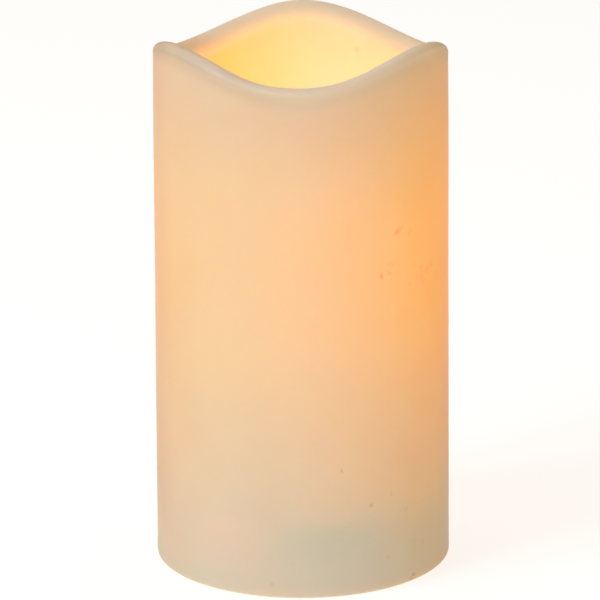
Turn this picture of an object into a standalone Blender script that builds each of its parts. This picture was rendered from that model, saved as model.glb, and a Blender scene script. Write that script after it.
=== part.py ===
"""Flameless LED candle: a hollow wax pillar with a battery module in its base and a lamp on a stem.

Metres, +Z up. The origin is at the centre of the face that the candle stands on. The front is towards -Y.
The pillar's rim is a softly melted wave with three rises; one of the three hollows faces the front.
"""
import bmesh
import bpy
from math import cos, pi, radians, sin
from mathutils import Matrix, Vector

# ---------------------------------------------------------------- driving dimensions
RIM_RADIUS = 0.0410          # pillar's outer radius at the rim
FOOT_RADIUS = 0.0420         # pillar's outer radius at the foot: mould draft
RIM_HEIGHT = 0.1482          # mean height of the rim
WAVE_3 = 0.00397             # half height of the rim's three rises
WAVE_6 = 0.00020             # sharpens the rises a little
WAVE_PHASE = -0.0267         # turn of the wave about +Z, radians
WALL = 0.0066                # wax thickness at the rim
LIP_OUT = 0.0019             # rounding of the rim's outer corner
FOOT_ROUND = 0.0015          # rounding of the foot's outer corner
BORE_RIM = RIM_RADIUS - WALL
BORE_LOW = 0.0349            # bore radius just above the module
RECESS_RADIUS = 0.0368       # recess under the pillar for the module
RECESS_TOP = 0.0263
SEGMENTS = 72

GAP = 0.0003                 # clearance between pieces that touch

MODULE_RADIUS = 0.0364       # battery module
MODULE_BOTTOM = 0.0015
MODULE_WALL = 0.0020
FLOOR_TOP = 0.0035
HOUSING_TOP = 0.0240
COVER_BOTTOM = HOUSING_TOP + GAP
COVER_TOP = 0.0260

BAY_X, BAY_Y = 0.0296, 0.0154            # half sizes of the battery bay
BAY_WALL_X, BAY_WALL_Y = 0.0308, 0.0168  # and of its walls
BAY_ROOF, BAY_ROOF_TOP = 0.0190, 0.0204

CELL_RADIUS = 0.00725        # AA cell
CELL_LENGTH = 0.0505
CELL_Y = 0.0076              # half the distance between the two cells
CELL_Z = 0.0114
NUB_RADIUS, NUB_LENGTH = 0.00275, 0.0010
CONTACT_X = 0.0289           # inner face of the contact plates
CONTACT_THICK = 0.0004

HINGE_X, HINGE_Z = -0.0282, 0.0024       # battery door's hinge axis, along Y
DOOR_TOP = 0.0033
DOOR_END = 0.0290
DOOR_Y = 0.0149

SWITCH_Y = 0.0240
SWITCH_TRAVEL = 0.0020       # each way from the middle position

BOARD_BOTTOM, BOARD_TOP = 0.0086, 0.0098
BOARD_X, BOARD_Y0, BOARD_Y1 = 0.0150, 0.0180, 0.0298
BOARD_SCREW_X = 0.0124

COVER_SCREWS = ((-0.0228, 0.0216), (0.0228, 0.0216), (0.0, -0.0314))

STEM_RADIUS, STEM_BORE = 0.0040, 0.0024
STEM_BOTTOM = COVER_TOP + GAP
STEM_TOP = 0.0924
COLLAR_TOP = 0.0880
LAMP_BOTTOM = STEM_TOP + GAP

# ---------------------------------------------------------------- scene
for ob in list(bpy.data.objects):
    bpy.data.objects.remove(ob, do_unlink=True)

PARTS = bpy.data.collections.new("flameless_led_candle")
CUTTERS = bpy.data.collections.new("cutters")
bpy.context.scene.collection.children.link(PARTS)
bpy.context.scene.collection.children.link(CUTTERS)


def material(name, colour, roughness, metallic=0.0, **more):
    mat = bpy.data.materials.new(name)
    mat.use_nodes = True
    bsdf = mat.node_tree.nodes["Principled BSDF"]
    bsdf.inputs["Base Color"].default_value = (*colour, 1.0)
    bsdf.inputs["Roughness"].default_value = roughness
    bsdf.inputs["Metallic"].default_value = metallic
    for key, value in more.items():
        bsdf.inputs[key.replace("_", " ")].default_value = value
    mat.diffuse_color = (*colour, 1.0)
    return mat


WAX = material("ivory_wax", (0.80, 0.66, 0.47), 0.45)
HOUSING = material("module_ivory_abs", (0.78, 0.72, 0.60), 0.50)
COVER = material("cover_white_abs", (0.85, 0.83, 0.78), 0.55)
STEM = material("stem_white_pp", (0.86, 0.84, 0.80), 0.45)
FROSTED = material("diffuser_frosted", (0.95, 0.86, 0.66), 0.50)
LENS = material("lamp_epoxy_amber", (0.98, 0.66, 0.25), 0.12)
TINNED = material("tinned_wire", (0.78, 0.78, 0.76), 0.25, 1.0)
STEEL = material("screw_zinc_steel", (0.66, 0.67, 0.68), 0.30, 1.0)
NICKEL = material("contact_nickel", (0.74, 0.72, 0.68), 0.25, 1.0)
BOARD = material("board_green", (0.05, 0.24, 0.11), 0.40)
CHIP = material("chip_black", (0.03, 0.03, 0.03), 0.45)
CAN = material("crystal_can", (0.74, 0.74, 0.75), 0.22, 1.0)
RESISTOR = material("resistor_tan", (0.72, 0.55, 0.36), 0.45)
SLEEVE = material("capacitor_sleeve", (0.04, 0.05, 0.11), 0.35)
SWITCH_CAN = material("switch_can", (0.70, 0.71, 0.72), 0.28, 1.0)
BLACK_POM = material("slider_black_pom", (0.03, 0.03, 0.032), 0.40)
DOOR = material("door_ivory_abs", (0.78, 0.72, 0.60), 0.50)
CELL = material("cell_sleeve", (0.10, 0.11, 0.12), 0.30)
RED = material("wire_red_pvc", (0.60, 0.03, 0.03), 0.40)
BLACK = material("wire_black_pvc", (0.03, 0.03, 0.03), 0.40)
YELLOW = material("wire_yellow_pvc", (0.80, 0.58, 0.06), 0.40)
WHITE = material("wire_white_pvc", (0.82, 0.82, 0.80), 0.40)


# ---------------------------------------------------------------- makers
def add(name, mesh, mat=None):
    """An object in the candle's collection, or a cutter where it has no material."""
    ob = bpy.data.objects.new(name, mesh)
    if mat is None:
        CUTTERS.objects.link(ob)
        ob.hide_render = True
        ob.display_type = "WIRE"
    else:
        PARTS.objects.link(ob)
        ob.data.materials.append(mat)
    return ob


def box(name, low, high, mat=None, round_edges=0.0):
    """A box between two corners, its edges rounded by round_edges."""
    low, high = Vector(low), Vector(high)
    bm = bmesh.new()
    bmesh.ops.create_cube(bm, size=1.0)
    size = high - low
    bmesh.ops.scale(bm, vec=size, verts=bm.verts)
    bmesh.ops.translate(bm, vec=(low + high) / 2, verts=bm.verts)
    if round_edges:
        bmesh.ops.bevel(
            bm, geom=bm.edges[:], offset=round_edges, segments=2, profile=0.5, affect="EDGES"
        )
    mesh = bpy.data.meshes.new(name)
    bm.to_mesh(mesh)
    bm.free()
    return add(name, mesh, mat)


def upright_round(name, centre, half_x, half_y, radius, z0, z1, mat=None):
    """A plate between z0 and z1 whose four upright edges are rounded."""
    bm = bmesh.new()
    bmesh.ops.create_cube(bm, size=1.0)
    bmesh.ops.scale(bm, vec=(2 * half_x, 2 * half_y, z1 - z0), verts=bm.verts)
    bmesh.ops.translate(bm, vec=(centre[0], centre[1], (z0 + z1) / 2), verts=bm.verts)
    upright = [e for e in bm.edges if abs(e.verts[0].co.z - e.verts[1].co.z) > 1e-6]
    bmesh.ops.bevel(bm, geom=upright, offset=radius, segments=5, profile=0.5, affect="EDGES")
    mesh = bpy.data.meshes.new(name)
    bm.to_mesh(mesh)
    bm.free()
    return add(name, mesh, mat)


def rod(name, radius, start, end, mat=None, sides=24):
    """A cylinder from one point to another."""
    start, end = Vector(start), Vector(end)
    along = end - start
    turn = along.to_track_quat("Z", "Y").to_matrix().to_4x4()
    bm = bmesh.new()
    bmesh.ops.create_cone(
        bm, cap_ends=True, segments=sides, radius1=radius, radius2=radius, depth=along.length,
        matrix=Matrix.Translation((start + end) / 2) @ turn,
    )
    mesh = bpy.data.meshes.new(name)
    bm.to_mesh(mesh)
    bm.free()
    mesh.shade_smooth()
    mesh.set_sharp_from_angle(angle=radians(40))
    return add(name, mesh, mat)


def turned(name, profile, steps, mat=None, closed=False, at=(0.0, 0.0)):
    """A profile of (radius, height) points, outer side downwards, turned about the vertical through at."""
    mesh = bpy.data.meshes.new(name)
    count = len(profile)
    edges = [(i, i + 1) for i in range(count - 1)] + ([(count - 1, 0)] if closed else [])
    mesh.from_pydata([(r, 0.0, z) for r, z in profile], edges, [])
    ob = add(name, mesh, mat)
    ob.location = (at[0], at[1], 0.0)
    screw = ob.modifiers.new("turn", "SCREW")
    screw.axis = "Z"
    screw.angle = 2 * pi
    screw.steps = screw.render_steps = steps
    screw.use_merge_vertices = True
    screw.merge_threshold = 0.00001
    screw.use_smooth_shade = True
    return ob


def made_solid(ob):
    """The object with its modifiers or its curve turned into a plain mesh."""
    bpy.context.view_layer.update()
    depsgraph = bpy.context.evaluated_depsgraph_get()
    mesh = bpy.data.meshes.new_from_object(ob.evaluated_get(depsgraph))
    bm = bmesh.new()
    bm.from_mesh(mesh)
    bmesh.ops.remove_doubles(bm, verts=bm.verts, dist=0.000005)
    bm.to_mesh(mesh)
    bm.free()
    new = bpy.data.objects.new(ob.name + "_mesh", mesh)
    for collection in list(ob.users_collection):
        collection.objects.link(new)
    new.matrix_world = ob.matrix_world
    new.hide_render, new.display_type = ob.hide_render, ob.display_type
    name = ob.name
    bpy.data.objects.remove(ob, do_unlink=True)
    new.name = name
    return new


def smooth_route(points, per_span):
    """Points along a smooth curve that passes through every given point."""
    pts = [Vector(p) for p in points]
    pts = [2 * pts[0] - pts[1]] + pts + [2 * pts[-1] - pts[-2]]
    out = []
    for i in range(1, len(pts) - 2):
        a, b, c, d = pts[i - 1: i + 3]
        for k in range(per_span):
            t = k / per_span
            out.append(
                0.5 * (2 * b + (c - a) * t + (2 * a - 5 * b + 4 * c - d) * t * t
                       + (3 * b - a - 3 * c + d) * t ** 3)
            )
    out.append(pts[-2])
    return out


def wire(name, points, radius, mat):
    """A round wire along points, closed at both ends."""
    curve = bpy.data.curves.new(name, "CURVE")
    curve.dimensions = "3D"
    curve.bevel_depth = radius
    curve.bevel_resolution = 2
    curve.use_fill_caps = True
    spline = curve.splines.new("POLY")
    spline.points.add(len(points) - 1)
    for p, q in zip(spline.points, points):
        p.co = (*q, 1.0)
    return add(name, curve, mat)


def boolean(ob, other, operation):
    mod = ob.modifiers.new(other.name, "BOOLEAN")
    mod.operation = operation
    mod.solver = "EXACT"
    mod.object = other
    return ob


def cut(ob, *others):
    for other in others:
        boolean(ob, other, "DIFFERENCE")
    return ob


def join(ob, *others):
    for other in others:
        boolean(ob, other, "UNION")
    return ob


def origin_at(ob, point):
    """Moves an object's origin without moving its shape."""
    point = Vector(point)
    ob.data.transform(Matrix.Translation(ob.location - point))
    ob.location = point
    return ob


def axis_empty(name, point):
    """An empty on a joint's axis."""
    empty = bpy.data.objects.new(name, None)
    empty.empty_display_size = 0.01
    empty.location = point
    PARTS.objects.link(empty)
    return empty


def ride_on(ob, empty):
    ob.parent = empty
    ob.matrix_parent_inverse = Matrix.Translation(-Vector(empty.location))


# ---------------------------------------------------------------- the wax pillar
def pillar_radius(z):
    return RIM_RADIUS + (FOOT_RADIUS - RIM_RADIUS) * (RIM_HEIGHT - z) / RIM_HEIGHT


def bore_radius(z):
    share = (z - RECESS_TOP) / (RIM_HEIGHT - RECESS_TOP)
    return BORE_LOW + (BORE_RIM - BORE_LOW) * share


def rim_wave(x, y):
    """Height of the melted rim over its mean height, in the direction (x, y)."""
    from math import atan2

    angle = atan2(x, -y) - WAVE_PHASE
    return -WAVE_3 * cos(3 * angle) + WAVE_6 * cos(6 * angle)


def wax_shell():
    lip_in = WALL - LIP_OUT
    levels = (0.139, 0.130, 0.120, 0.110, 0.098)
    profile = []
    # inner half of the lip, from the bore up to the crest, then the outer half down
    steps = 4
    crest = RIM_HEIGHT
    for i in range(steps):
        a = pi / 2 * (1 - i / steps)
        profile.append((RIM_RADIUS - LIP_OUT + LIP_OUT * cos(a), crest - LIP_OUT + LIP_OUT * sin(a)))
    profile.append((pillar_radius(crest - LIP_OUT), crest - LIP_OUT))
    profile += [(pillar_radius(z), z) for z in levels]
    foot = pillar_radius(FOOT_ROUND)
    for i in range(3):
        a = pi / 2 * i / 2
        profile.append((foot - FOOT_ROUND + FOOT_ROUND * cos(a), FOOT_ROUND - FOOT_ROUND * sin(a)))
    profile.append((RECESS_RADIUS, 0.0))
    profile.append((RECESS_RADIUS, RECESS_TOP))
    profile.append((BORE_LOW, RECESS_TOP))
    profile += [(bore_radius(z), z) for z in reversed(levels)]
    for i in range(steps):
        a = pi / 2 * i / steps
        profile.append(
            (BORE_RIM + lip_in - lip_in * cos(a), crest - lip_in + lip_in * sin(a))
        )
    ob = made_solid(turned("wax_shell", profile, SEGMENTS, WAX, closed=True))
    # the rises die out over the upper third of the wall
    low, high = 0.098, 0.142
    for vert in ob.data.vertices:
        t = min(max((vert.co.z - low) / (high - low), 0.0), 1.0)
        vert.co.z += rim_wave(vert.co.x, vert.co.y) * t * t * (3 - 2 * t)
    ob.data.shade_smooth()
    ob.data.set_sharp_from_angle(angle=radians(50))
    return ob


# ---------------------------------------------------------------- the battery module
def base_housing():
    ob = rod("base_housing", MODULE_RADIUS, (0, 0, MODULE_BOTTOM), (0, 0, HOUSING_TOP), HOUSING, SEGMENTS)
    cut(ob, rod("housing_hollow", MODULE_RADIUS - MODULE_WALL, (0, 0, FLOOR_TOP), (0, 0, 0.030), None, SEGMENTS))
    join(ob, box("bay_block", (-BAY_WALL_X, -BAY_WALL_Y, 0.0030), (BAY_WALL_X, BAY_WALL_Y, BAY_ROOF_TOP)))
    for side in (-1, 1):
        y0, y1 = sorted((side * 0.0150, side * 0.0183))
        join(ob, box("hinge_block_%d" % side, (-0.0303, y0, 0.0029), (-0.0255, y1, 0.0062)))
    for i, (x, y) in enumerate(COVER_SCREWS):
        join(ob, rod("boss_%d" % i, 0.0034, (x, y, 0.0030), (x, y, HOUSING_TOP), None, 20))
    for i, x in enumerate((-BOARD_SCREW_X, BOARD_SCREW_X)):
        join(ob, rod("standoff_%d" % i, 0.0022, (x, SWITCH_Y, 0.0030), (x, SWITCH_Y, BOARD_BOTTOM - GAP), None, 16))
    cut(ob, box("bay_space", (-BAY_X, -BAY_Y, 0.0), (BAY_X, BAY_Y, BAY_ROOF)))
    for i, (x, y) in enumerate(COVER_SCREWS):
        cut(ob, rod("boss_bore_%d" % i, 0.00135, (x, y, 0.0125), (x, y, 0.030), None, 12))
    for i, x in enumerate((-BOARD_SCREW_X, BOARD_SCREW_X)):
        cut(ob, rod("standoff_bore_%d" % i, 0.00115, (x, SWITCH_Y, 0.0050), (x, SWITCH_Y, 0.0120), None, 12))
    # slots that the contacts' tabs stand through, in the bay's roof
    for name, x, y in (("a", -1, -CELL_Y), ("b", -1, CELL_Y)):
        cut(ob, box("tab_slot_" + name, (-0.0297, y - 0.0017, 0.0180), (-0.0284, y + 0.0017, 0.0220)))
    # switch: a slot for the knob and a shallow dish around it for a fingertip
    cut(ob, upright_round("switch_dish", (0, SWITCH_Y), 0.0085, 0.0042, 0.0038, 0.0, 0.0022))
    cut(ob, box("switch_slot", (-0.0042, SWITCH_Y - 0.0015, 0.0), (0.0042, SWITCH_Y + 0.0015, 0.0045)))
    # door: open-sided seats for its hinge pins, and a scoop for a fingertip at its latch
    for side in (-1, 1):
        y0, y1 = sorted((side * 0.0140, side * 0.0174))
        cut(ob, box("pin_mouth_%d" % side, (HINGE_X - 0.0010, y0, 0.0), (HINGE_X + 0.0010, y1, HINGE_Z)))
        cut(ob, rod("pin_seat_%d" % side, 0.0010, (HINGE_X, y0, HINGE_Z), (HINGE_X, y1, HINGE_Z), None, 16))
    cut(ob, upright_round("finger_scoop", (0.0300, 0), 0.0036, 0.0060, 0.0030, 0.0, 0.0028))
    return ob


def module_cover():
    ob = rod("module_cover", MODULE_RADIUS, (0, 0, COVER_BOTTOM), (0, 0, COVER_TOP), COVER, SEGMENTS)
    join(ob, rod("hub", 0.0066, (0, 0, 0.0250), (0, 0, 0.0310), None, 32))
    for i in range(4):
        a = pi / 4 + i * pi / 2
        rib = box("hub_rib_%d" % i, (0.0055, -0.0006, 0.0252), (0.0120, 0.0006, 0.0285))
        rib.data.transform(Matrix.Rotation(a, 4, "Z"))
        join(ob, rib)
    cut(ob, rod("hub_socket", STEM_RADIUS + 0.0004, (0, 0, COVER_TOP), (0, 0, 0.0350), None, 32))
    cut(ob, rod("wire_hole", 0.0022, (0, 0, 0.0200), (0, 0, 0.0300), None, 24))
    for i, (x, y) in enumerate(COVER_SCREWS):
        cut(ob, rod("cover_hole_%d" % i, 0.0014, (x, y, 0.0220), (x, y, 0.0280), None, 12))
    return ob


def pan_screw(name, at, under_head, head_radius, head_height, shank_radius, length, mat):
    """A pan-headed screw standing point down."""
    x, y = at
    top = under_head + head_height
    profile = [
        (0.0, top),
        (head_radius * 0.55, top - head_height * 0.06),
        (head_radius * 0.88, top - head_height * 0.30),
        (head_radius, top - head_height * 0.62),
        (head_radius, under_head),
        (shank_radius, under_head),
        (shank_radius, under_head - length + shank_radius),
        (0.0, under_head - length),
    ]
    return turned(name, profile, 20, mat, at=(x, y))


def battery_door():
    ob = box("battery_door", (HINGE_X, -DOOR_Y, MODULE_BOTTOM), (DOOR_END, DOOR_Y, DOOR_TOP), DOOR)
    join(ob, rod("door_barrel", 0.00095, (HINGE_X, -DOOR_Y, HINGE_Z), (HINGE_X, DOOR_Y, HINGE_Z), None, 20))
    join(ob, rod("door_pins", 0.0007, (HINGE_X, -0.0170, HINGE_Z), (HINGE_X, 0.0170, HINGE_Z), None, 14))
    # rib between the cells, the latch tongue's nib and its finger lip
    join(ob, box("door_rib", (-0.0180, -0.0006, 0.0028), (0.0160, 0.0006, 0.0056)))
    join(ob, box("latch_nib", (0.0281, -0.0030, 0.0028), (0.0288, 0.0030, 0.0048)))
    join(ob, box("latch_lip", (0.0280, -0.0038, 0.0016), (0.0312, 0.0038, 0.0024)))
    for side in (-1, 1):
        y0, y1 = sorted((side * 0.0040, side * 0.0048))
        cut(ob, box("latch_slit_%d" % side, (0.0210, y0, 0.0), (0.0330, y1, 0.0060)))
    # shallow finger grooves in the outer face
    for i in range(3):
        x = 0.0120 + 0.0024 * i
        cut(ob, box("door_groove_%d" % i, (x, -0.0060, 0.0), (x + 0.0010, 0.0060, 0.0019)))
    return ob


def switch_case():
    ob = box("switch_case", (-0.0058, SWITCH_Y - 0.0021, FLOOR_TOP + GAP), (0.0058, SWITCH_Y + 0.0021, BOARD_BOTTOM - GAP), SWITCH_CAN, 0.0003)
    return cut(ob, box("switch_cavity", (-0.0049, SWITCH_Y - 0.0015, 0.0), (0.0049, SWITCH_Y + 0.0015, 0.0069)))


def switch_slider():
    ob = box("switch_slider", (-0.0015, SWITCH_Y - 0.0011, 0.0007), (0.0015, SWITCH_Y + 0.0011, 0.0052), BLACK_POM, 0.0002)
    return join(ob, box("slider_plate", (-0.0026, SWITCH_Y - 0.0012, 0.0046), (0.0026, SWITCH_Y + 0.0012, 0.0064)))


def cell(name, side):
    """An AA cell along X; side is -1 where its positive nub points to -X."""
    body = CELL_LENGTH - NUB_LENGTH
    profile = [
        (0.0, 0.0),
        (NUB_RADIUS - 0.0003, 0.0),
        (NUB_RADIUS, -0.0003),
        (NUB_RADIUS, -NUB_LENGTH),
        (CELL_RADIUS - 0.0009, -NUB_LENGTH - 0.0001),
        (CELL_RADIUS - 0.0002, -NUB_LENGTH - 0.0005),
        (CELL_RADIUS, -NUB_LENGTH - 0.0012),
        (CELL_RADIUS, -NUB_LENGTH - body + 0.0012),
        (CELL_RADIUS - 0.0002, -NUB_LENGTH - body + 0.0005),
        (CELL_RADIUS - 0.0009, -NUB_LENGTH - body),
        (0.0, -NUB_LENGTH - body),
    ]
    ob = turned(name, profile, 28, CELL)
    tip = CONTACT_X - GAP
    ob.rotation_euler = (0.0, side * pi / 2, 0.0)
    ob.location = (side * tip, side * CELL_Y, CELL_Z)
    return ob


def contact_plate(name, x_side, y, tab=True, half=0.0055):
    """A spring-steel plate at one end of the bay, with a tab up through the roof where a wire is soldered."""
    x0, x1 = sorted((x_side * CONTACT_X, x_side * (CONTACT_X + CONTACT_THICK)))
    ob = box(name, (x0, y - half, CELL_Z - 0.0055), (x1, y + half, CELL_Z + 0.0055), NICKEL)
    if tab:
        join(ob, box(name + "_tab", (x0, y - 0.0012, 0.0160), (x1, y + 0.0012, 0.0222)))
    return ob


def contact_spring(name, x_side, y):
    """A conical coil between a contact plate and a cell's flat end."""
    turns, wire_radius = 4.0, 0.00032
    start = CONTACT_X - GAP - wire_radius
    end = CONTACT_X - GAP - CELL_LENGTH
    end = -end + GAP + wire_radius          # the cell's flat end, with a gap
    points = []
    count = int(turns * 12)
    for i in range(count + 1):
        t = i / count
        r = 0.0040 - 0.0014 * t
        a = 2 * pi * turns * t
        x = start + (end - start) * t
        points.append((x_side * x, y + r * cos(a), CELL_Z + r * sin(a)))
    return wire(name, points, wire_radius, NICKEL)


# ---------------------------------------------------------------- the circuit
def circuit_board():
    ob = box("circuit_board", (-BOARD_X, BOARD_Y0, BOARD_BOTTOM), (BOARD_X, BOARD_Y1, BOARD_TOP), BOARD)
    for i, x in enumerate((-BOARD_SCREW_X, BOARD_SCREW_X)):
        cut(ob, rod("board_hole_%d" % i, 0.00115, (x, SWITCH_Y, 0.0070), (x, SWITCH_Y, 0.0120), None, 14))
    return ob


def timer_chip():
    z0 = BOARD_TOP + GAP
    cx, cy = -0.0032, 0.0264
    ob = box("timer_chip", (cx - 0.00245, cy - 0.00195, z0 + 0.0001), (cx + 0.00245, cy + 0.00195, z0 + 0.0015), CHIP)
    for side in (-1, 1):
        for i in range(4):
            x = cx + (i - 1.5) * 0.00127
            y0, y1 = sorted((cy + side * 0.0018, cy + side * 0.0024))
            join(ob, box("chip_leg_%d_%d" % (side, i), (x - 0.0002, y0, z0 + 0.0007), (x + 0.0002, y1, z0 + 0.0009)))
            y0, y1 = sorted((cy + side * 0.0022, cy + side * 0.0029))
            join(ob, box("chip_foot_%d_%d" % (side, i), (x - 0.00019, y0, z0), (x + 0.00019, y1, z0 + 0.0008)))
    return ob


def timing_crystal():
    z = BOARD_TOP + GAP + 0.0010
    return rod("timing_crystal", 0.0010, (0.0072, 0.0228, z), (0.0072, 0.0288, z), CAN, 16)


def resistor():
    z, y, x0, x1 = BOARD_TOP + GAP + 0.0012, 0.0219, -0.0062, 0.0042
    ob = rod("resistor", 0.0003, (x0, y, z), (x1, y, z), RESISTOR, 8)
    middle = (x0 + x1) / 2
    join(ob, rod("resistor_body", 0.0009, (middle - 0.0028, y, z), (middle + 0.0028, y, z), None, 16))
    for side in (-1, 1):
        a, b = sorted((middle + side * 0.0014, middle + side * 0.0030))
        join(ob, rod("resistor_end_%d" % side, 0.00112, (a, y, z), (b, y, z), None, 16))
        x = x0 + 0.0004 if side < 0 else x1 - 0.0004
        join(ob, rod("resistor_leg_%d" % side, 0.00028, (x, y, BOARD_TOP + GAP), (x, y, z + 0.0001), None, 8))
    return ob


def capacitor():
    z0 = BOARD_TOP + GAP
    profile = [
        (0.0, z0 + 0.0066),
        (0.0018, z0 + 0.0066),
        (0.0022, z0 + 0.0064),
        (0.0023, z0 + 0.0060),
        (0.0023, z0 + 0.0012),
        (0.0021, z0 + 0.0009),
        (0.0023, z0 + 0.0006),
        (0.0023, z0),
        (0.0, z0),
    ]
    return turned("capacitor", profile, 24, SLEEVE, at=(0.0026, 0.0266))


# ---------------------------------------------------------------- the lamp
def lamp_stem():
    profile = [
        (0.0036, STEM_TOP),
        (0.0036, COLLAR_TOP),
        (0.0062, COLLAR_TOP),
        (0.0062, COLLAR_TOP - 0.0012),
        (0.0044, COLLAR_TOP - 0.0036),
        (0.0037, COLLAR_TOP - 0.0060),
        (STEM_RADIUS, 0.0340),
        (STEM_RADIUS, STEM_BOTTOM),
        (STEM_BORE, STEM_BOTTOM),
        (STEM_BORE, STEM_TOP),
    ]
    return turned("lamp_stem", profile, 32, STEM, closed=True)


def lamp_lens():
    """A 5 mm LED: flange, barrel and domed top."""
    z0 = LAMP_BOTTOM
    profile = [(0.0, z0 + 0.0087)]
    for i in range(1, 6):
        a = pi / 2 * (1 - i / 5)
        profile.append((0.0025 * cos(a), z0 + 0.0062 + 0.0025 * sin(a)))
    profile += [(0.0025, z0 + 0.0010), (0.0029, z0 + 0.0010), (0.0029, z0), (0.0, z0)]
    return turned("lamp_lens", profile, 24, LENS)


def lamp_lead(name, x, length):
    top = STEM_TOP
    return box(name, (x - 0.00025, -0.00025, top - length), (x + 0.00025, 0.00025, top), TINNED)


def flame_diffuser():
    """A hollow frosted cap in the shape of a flame, open underneath."""
    z0 = COLLAR_TOP + GAP
    outer = [
        (0.0000, 0.0312), (0.0006, 0.0304), (0.0014, 0.0286), (0.0026, 0.0256), (0.0041, 0.0216),
        (0.0056, 0.0172), (0.0067, 0.0126), (0.0072, 0.0084), (0.0069, 0.0046), (0.0061, 0.0016),
        (0.0056, 0.0000),
    ]
    inner = [
        (0.0047, 0.0000), (0.0052, 0.0018), (0.0060, 0.0048), (0.0063, 0.0084), (0.0058, 0.0122),
        (0.0048, 0.0164), (0.0034, 0.0206), (0.0019, 0.0246), (0.0000, 0.0284),
    ]
    return turned("flame_diffuser", [(r, z0 + z) for r, z in outer + inner], 32, FROSTED)


def battery_wires():
    red = smooth_route(
        [(-0.0280, -CELL_Y, 0.0218), (-0.0250, -0.0070, 0.0219), (-0.0200, -0.0020, 0.0216),
         (-0.0130, 0.0070, 0.0216), (-0.0080, 0.0140, 0.0217), (-0.0066, 0.0180, 0.0200),
         (-0.0065, 0.0194, 0.0160), (-0.0065, 0.0196, 0.0120), (-0.0065, 0.0196, BOARD_TOP + GAP)], 4)
    black = smooth_route(
        [(-0.0280, CELL_Y, 0.0218), (-0.0256, 0.0086, 0.0219), (-0.0206, 0.0126, 0.0216),
         (-0.0150, 0.0164, 0.0214), (-0.0114, 0.0188, 0.0192), (-0.0102, 0.0195, 0.0150),
         (-0.0100, 0.0196, 0.0120), (-0.0100, 0.0196, BOARD_TOP + GAP)], 4)
    wire("wire_red", red, 0.00055, RED)
    wire("wire_black", black, 0.00055, BLACK)


def lamp_wires():
    for name, x_board, x_stem, mat in (
        ("wire_lamp_positive", 0.0068, -0.0010, YELLOW), ("wire_lamp_negative", 0.0100, 0.0010, WHITE),
    ):
        bend = 0.5 * (x_board + x_stem)
        route = smooth_route(
            [(x_board, 0.0196, BOARD_TOP + GAP), (x_board, 0.0196, 0.0130), (x_board, 0.0193, 0.0170),
             (x_board - 0.0004, 0.0176, 0.0206), (bend + 0.0024, 0.0120, 0.0219), (bend - 0.0002, 0.0060, 0.0219),
             (x_stem + 0.0006, 0.0016, 0.0232), (x_stem, 0.0002, 0.0262), (x_stem, 0.0, 0.0300)], 4)
        top = STEM_TOP - 0.0094
        route += [Vector((x_stem, 0.0, 0.0300 + (top - 0.0300) * t / 3)) for t in (1, 2, 3)]
        wire(name, route, 0.00055, mat)


# ---------------------------------------------------------------- assembly
wax_shell()
base_housing()
module_cover()
for i, at in enumerate(COVER_SCREWS):
    pan_screw("cover_screw_%d" % (i + 1), at, COVER_TOP + GAP, 0.0024, 0.0016, 0.00105, 0.0125, STEEL)
switch_case()
slider = switch_slider()
origin_at(slider, (0.0, SWITCH_Y, 0.0055))
ride_on(slider, axis_empty("switch_slide_axis", (0.0, SWITCH_Y, 0.0055)))
door = battery_door()
origin_at(door, (HINGE_X, 0.0, HINGE_Z))
ride_on(door, axis_empty("door_hinge_axis", (HINGE_X, 0.0, HINGE_Z)))
cell("battery_front", -1)
cell("battery_rear", 1)
contact_plate("contact_positive", -1, -CELL_Y)
contact_plate("contact_negative", -1, CELL_Y)
contact_plate("contact_bridge", 1, 0.0, tab=False, half=0.0132)
contact_spring("spring_negative", -1, CELL_Y)
contact_spring("spring_bridge", 1, -CELL_Y)
circuit_board()
timer_chip()
timing_crystal()
resistor()
capacitor()
for name, x in (("board_screw_left", -BOARD_SCREW_X), ("board_screw_right", BOARD_SCREW_X)):
    pan_screw(name, (x, SWITCH_Y), BOARD_TOP + GAP, 0.0019, 0.0012, 0.00085, 0.0046, STEEL)
lamp_stem()
lamp_lens()
lamp_lead("lamp_lead_anode", -0.00127, 0.0088)
lamp_lead("lamp_lead_cathode", 0.00127, 0.0080)
flame_diffuser()
battery_wires()
lamp_wires()
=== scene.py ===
from math import atan2, cos, exp, pi, radians, sin, sqrt

import bmesh
import bpy
from mathutils import Matrix, Quaternion, Vector, noise


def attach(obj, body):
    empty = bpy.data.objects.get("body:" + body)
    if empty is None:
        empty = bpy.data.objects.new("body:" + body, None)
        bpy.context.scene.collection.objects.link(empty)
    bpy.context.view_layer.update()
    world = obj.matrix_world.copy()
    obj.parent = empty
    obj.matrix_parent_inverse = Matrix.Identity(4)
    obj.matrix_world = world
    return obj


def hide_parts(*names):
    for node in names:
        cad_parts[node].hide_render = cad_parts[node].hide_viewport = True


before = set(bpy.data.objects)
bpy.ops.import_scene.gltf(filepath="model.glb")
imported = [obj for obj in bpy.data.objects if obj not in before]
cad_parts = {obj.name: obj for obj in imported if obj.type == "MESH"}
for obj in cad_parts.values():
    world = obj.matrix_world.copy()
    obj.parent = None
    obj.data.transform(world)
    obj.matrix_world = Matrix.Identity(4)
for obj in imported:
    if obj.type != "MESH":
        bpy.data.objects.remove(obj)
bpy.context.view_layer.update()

BODY = "pillar"

# ---------------------------------------------------------------- the candle's dimensions, in metres
RIM_RADIUS, FOOT_RADIUS = 0.0410, 0.0420
RIM_HEIGHT = 0.1482
WAVE_3, WAVE_6, WAVE_PHASE = 0.00397, 0.00020, -0.0267
WALL, LIP_OUT, FOOT_ROUND = 0.0066, 0.0019, 0.0009
BORE_RIM, BORE_LOW = RIM_RADIUS - WALL, 0.0349
RECESS_RADIUS, RECESS_TOP = 0.0368, 0.0263
LAMP_Z = 0.0975                     # height of the lamp's glow

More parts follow.
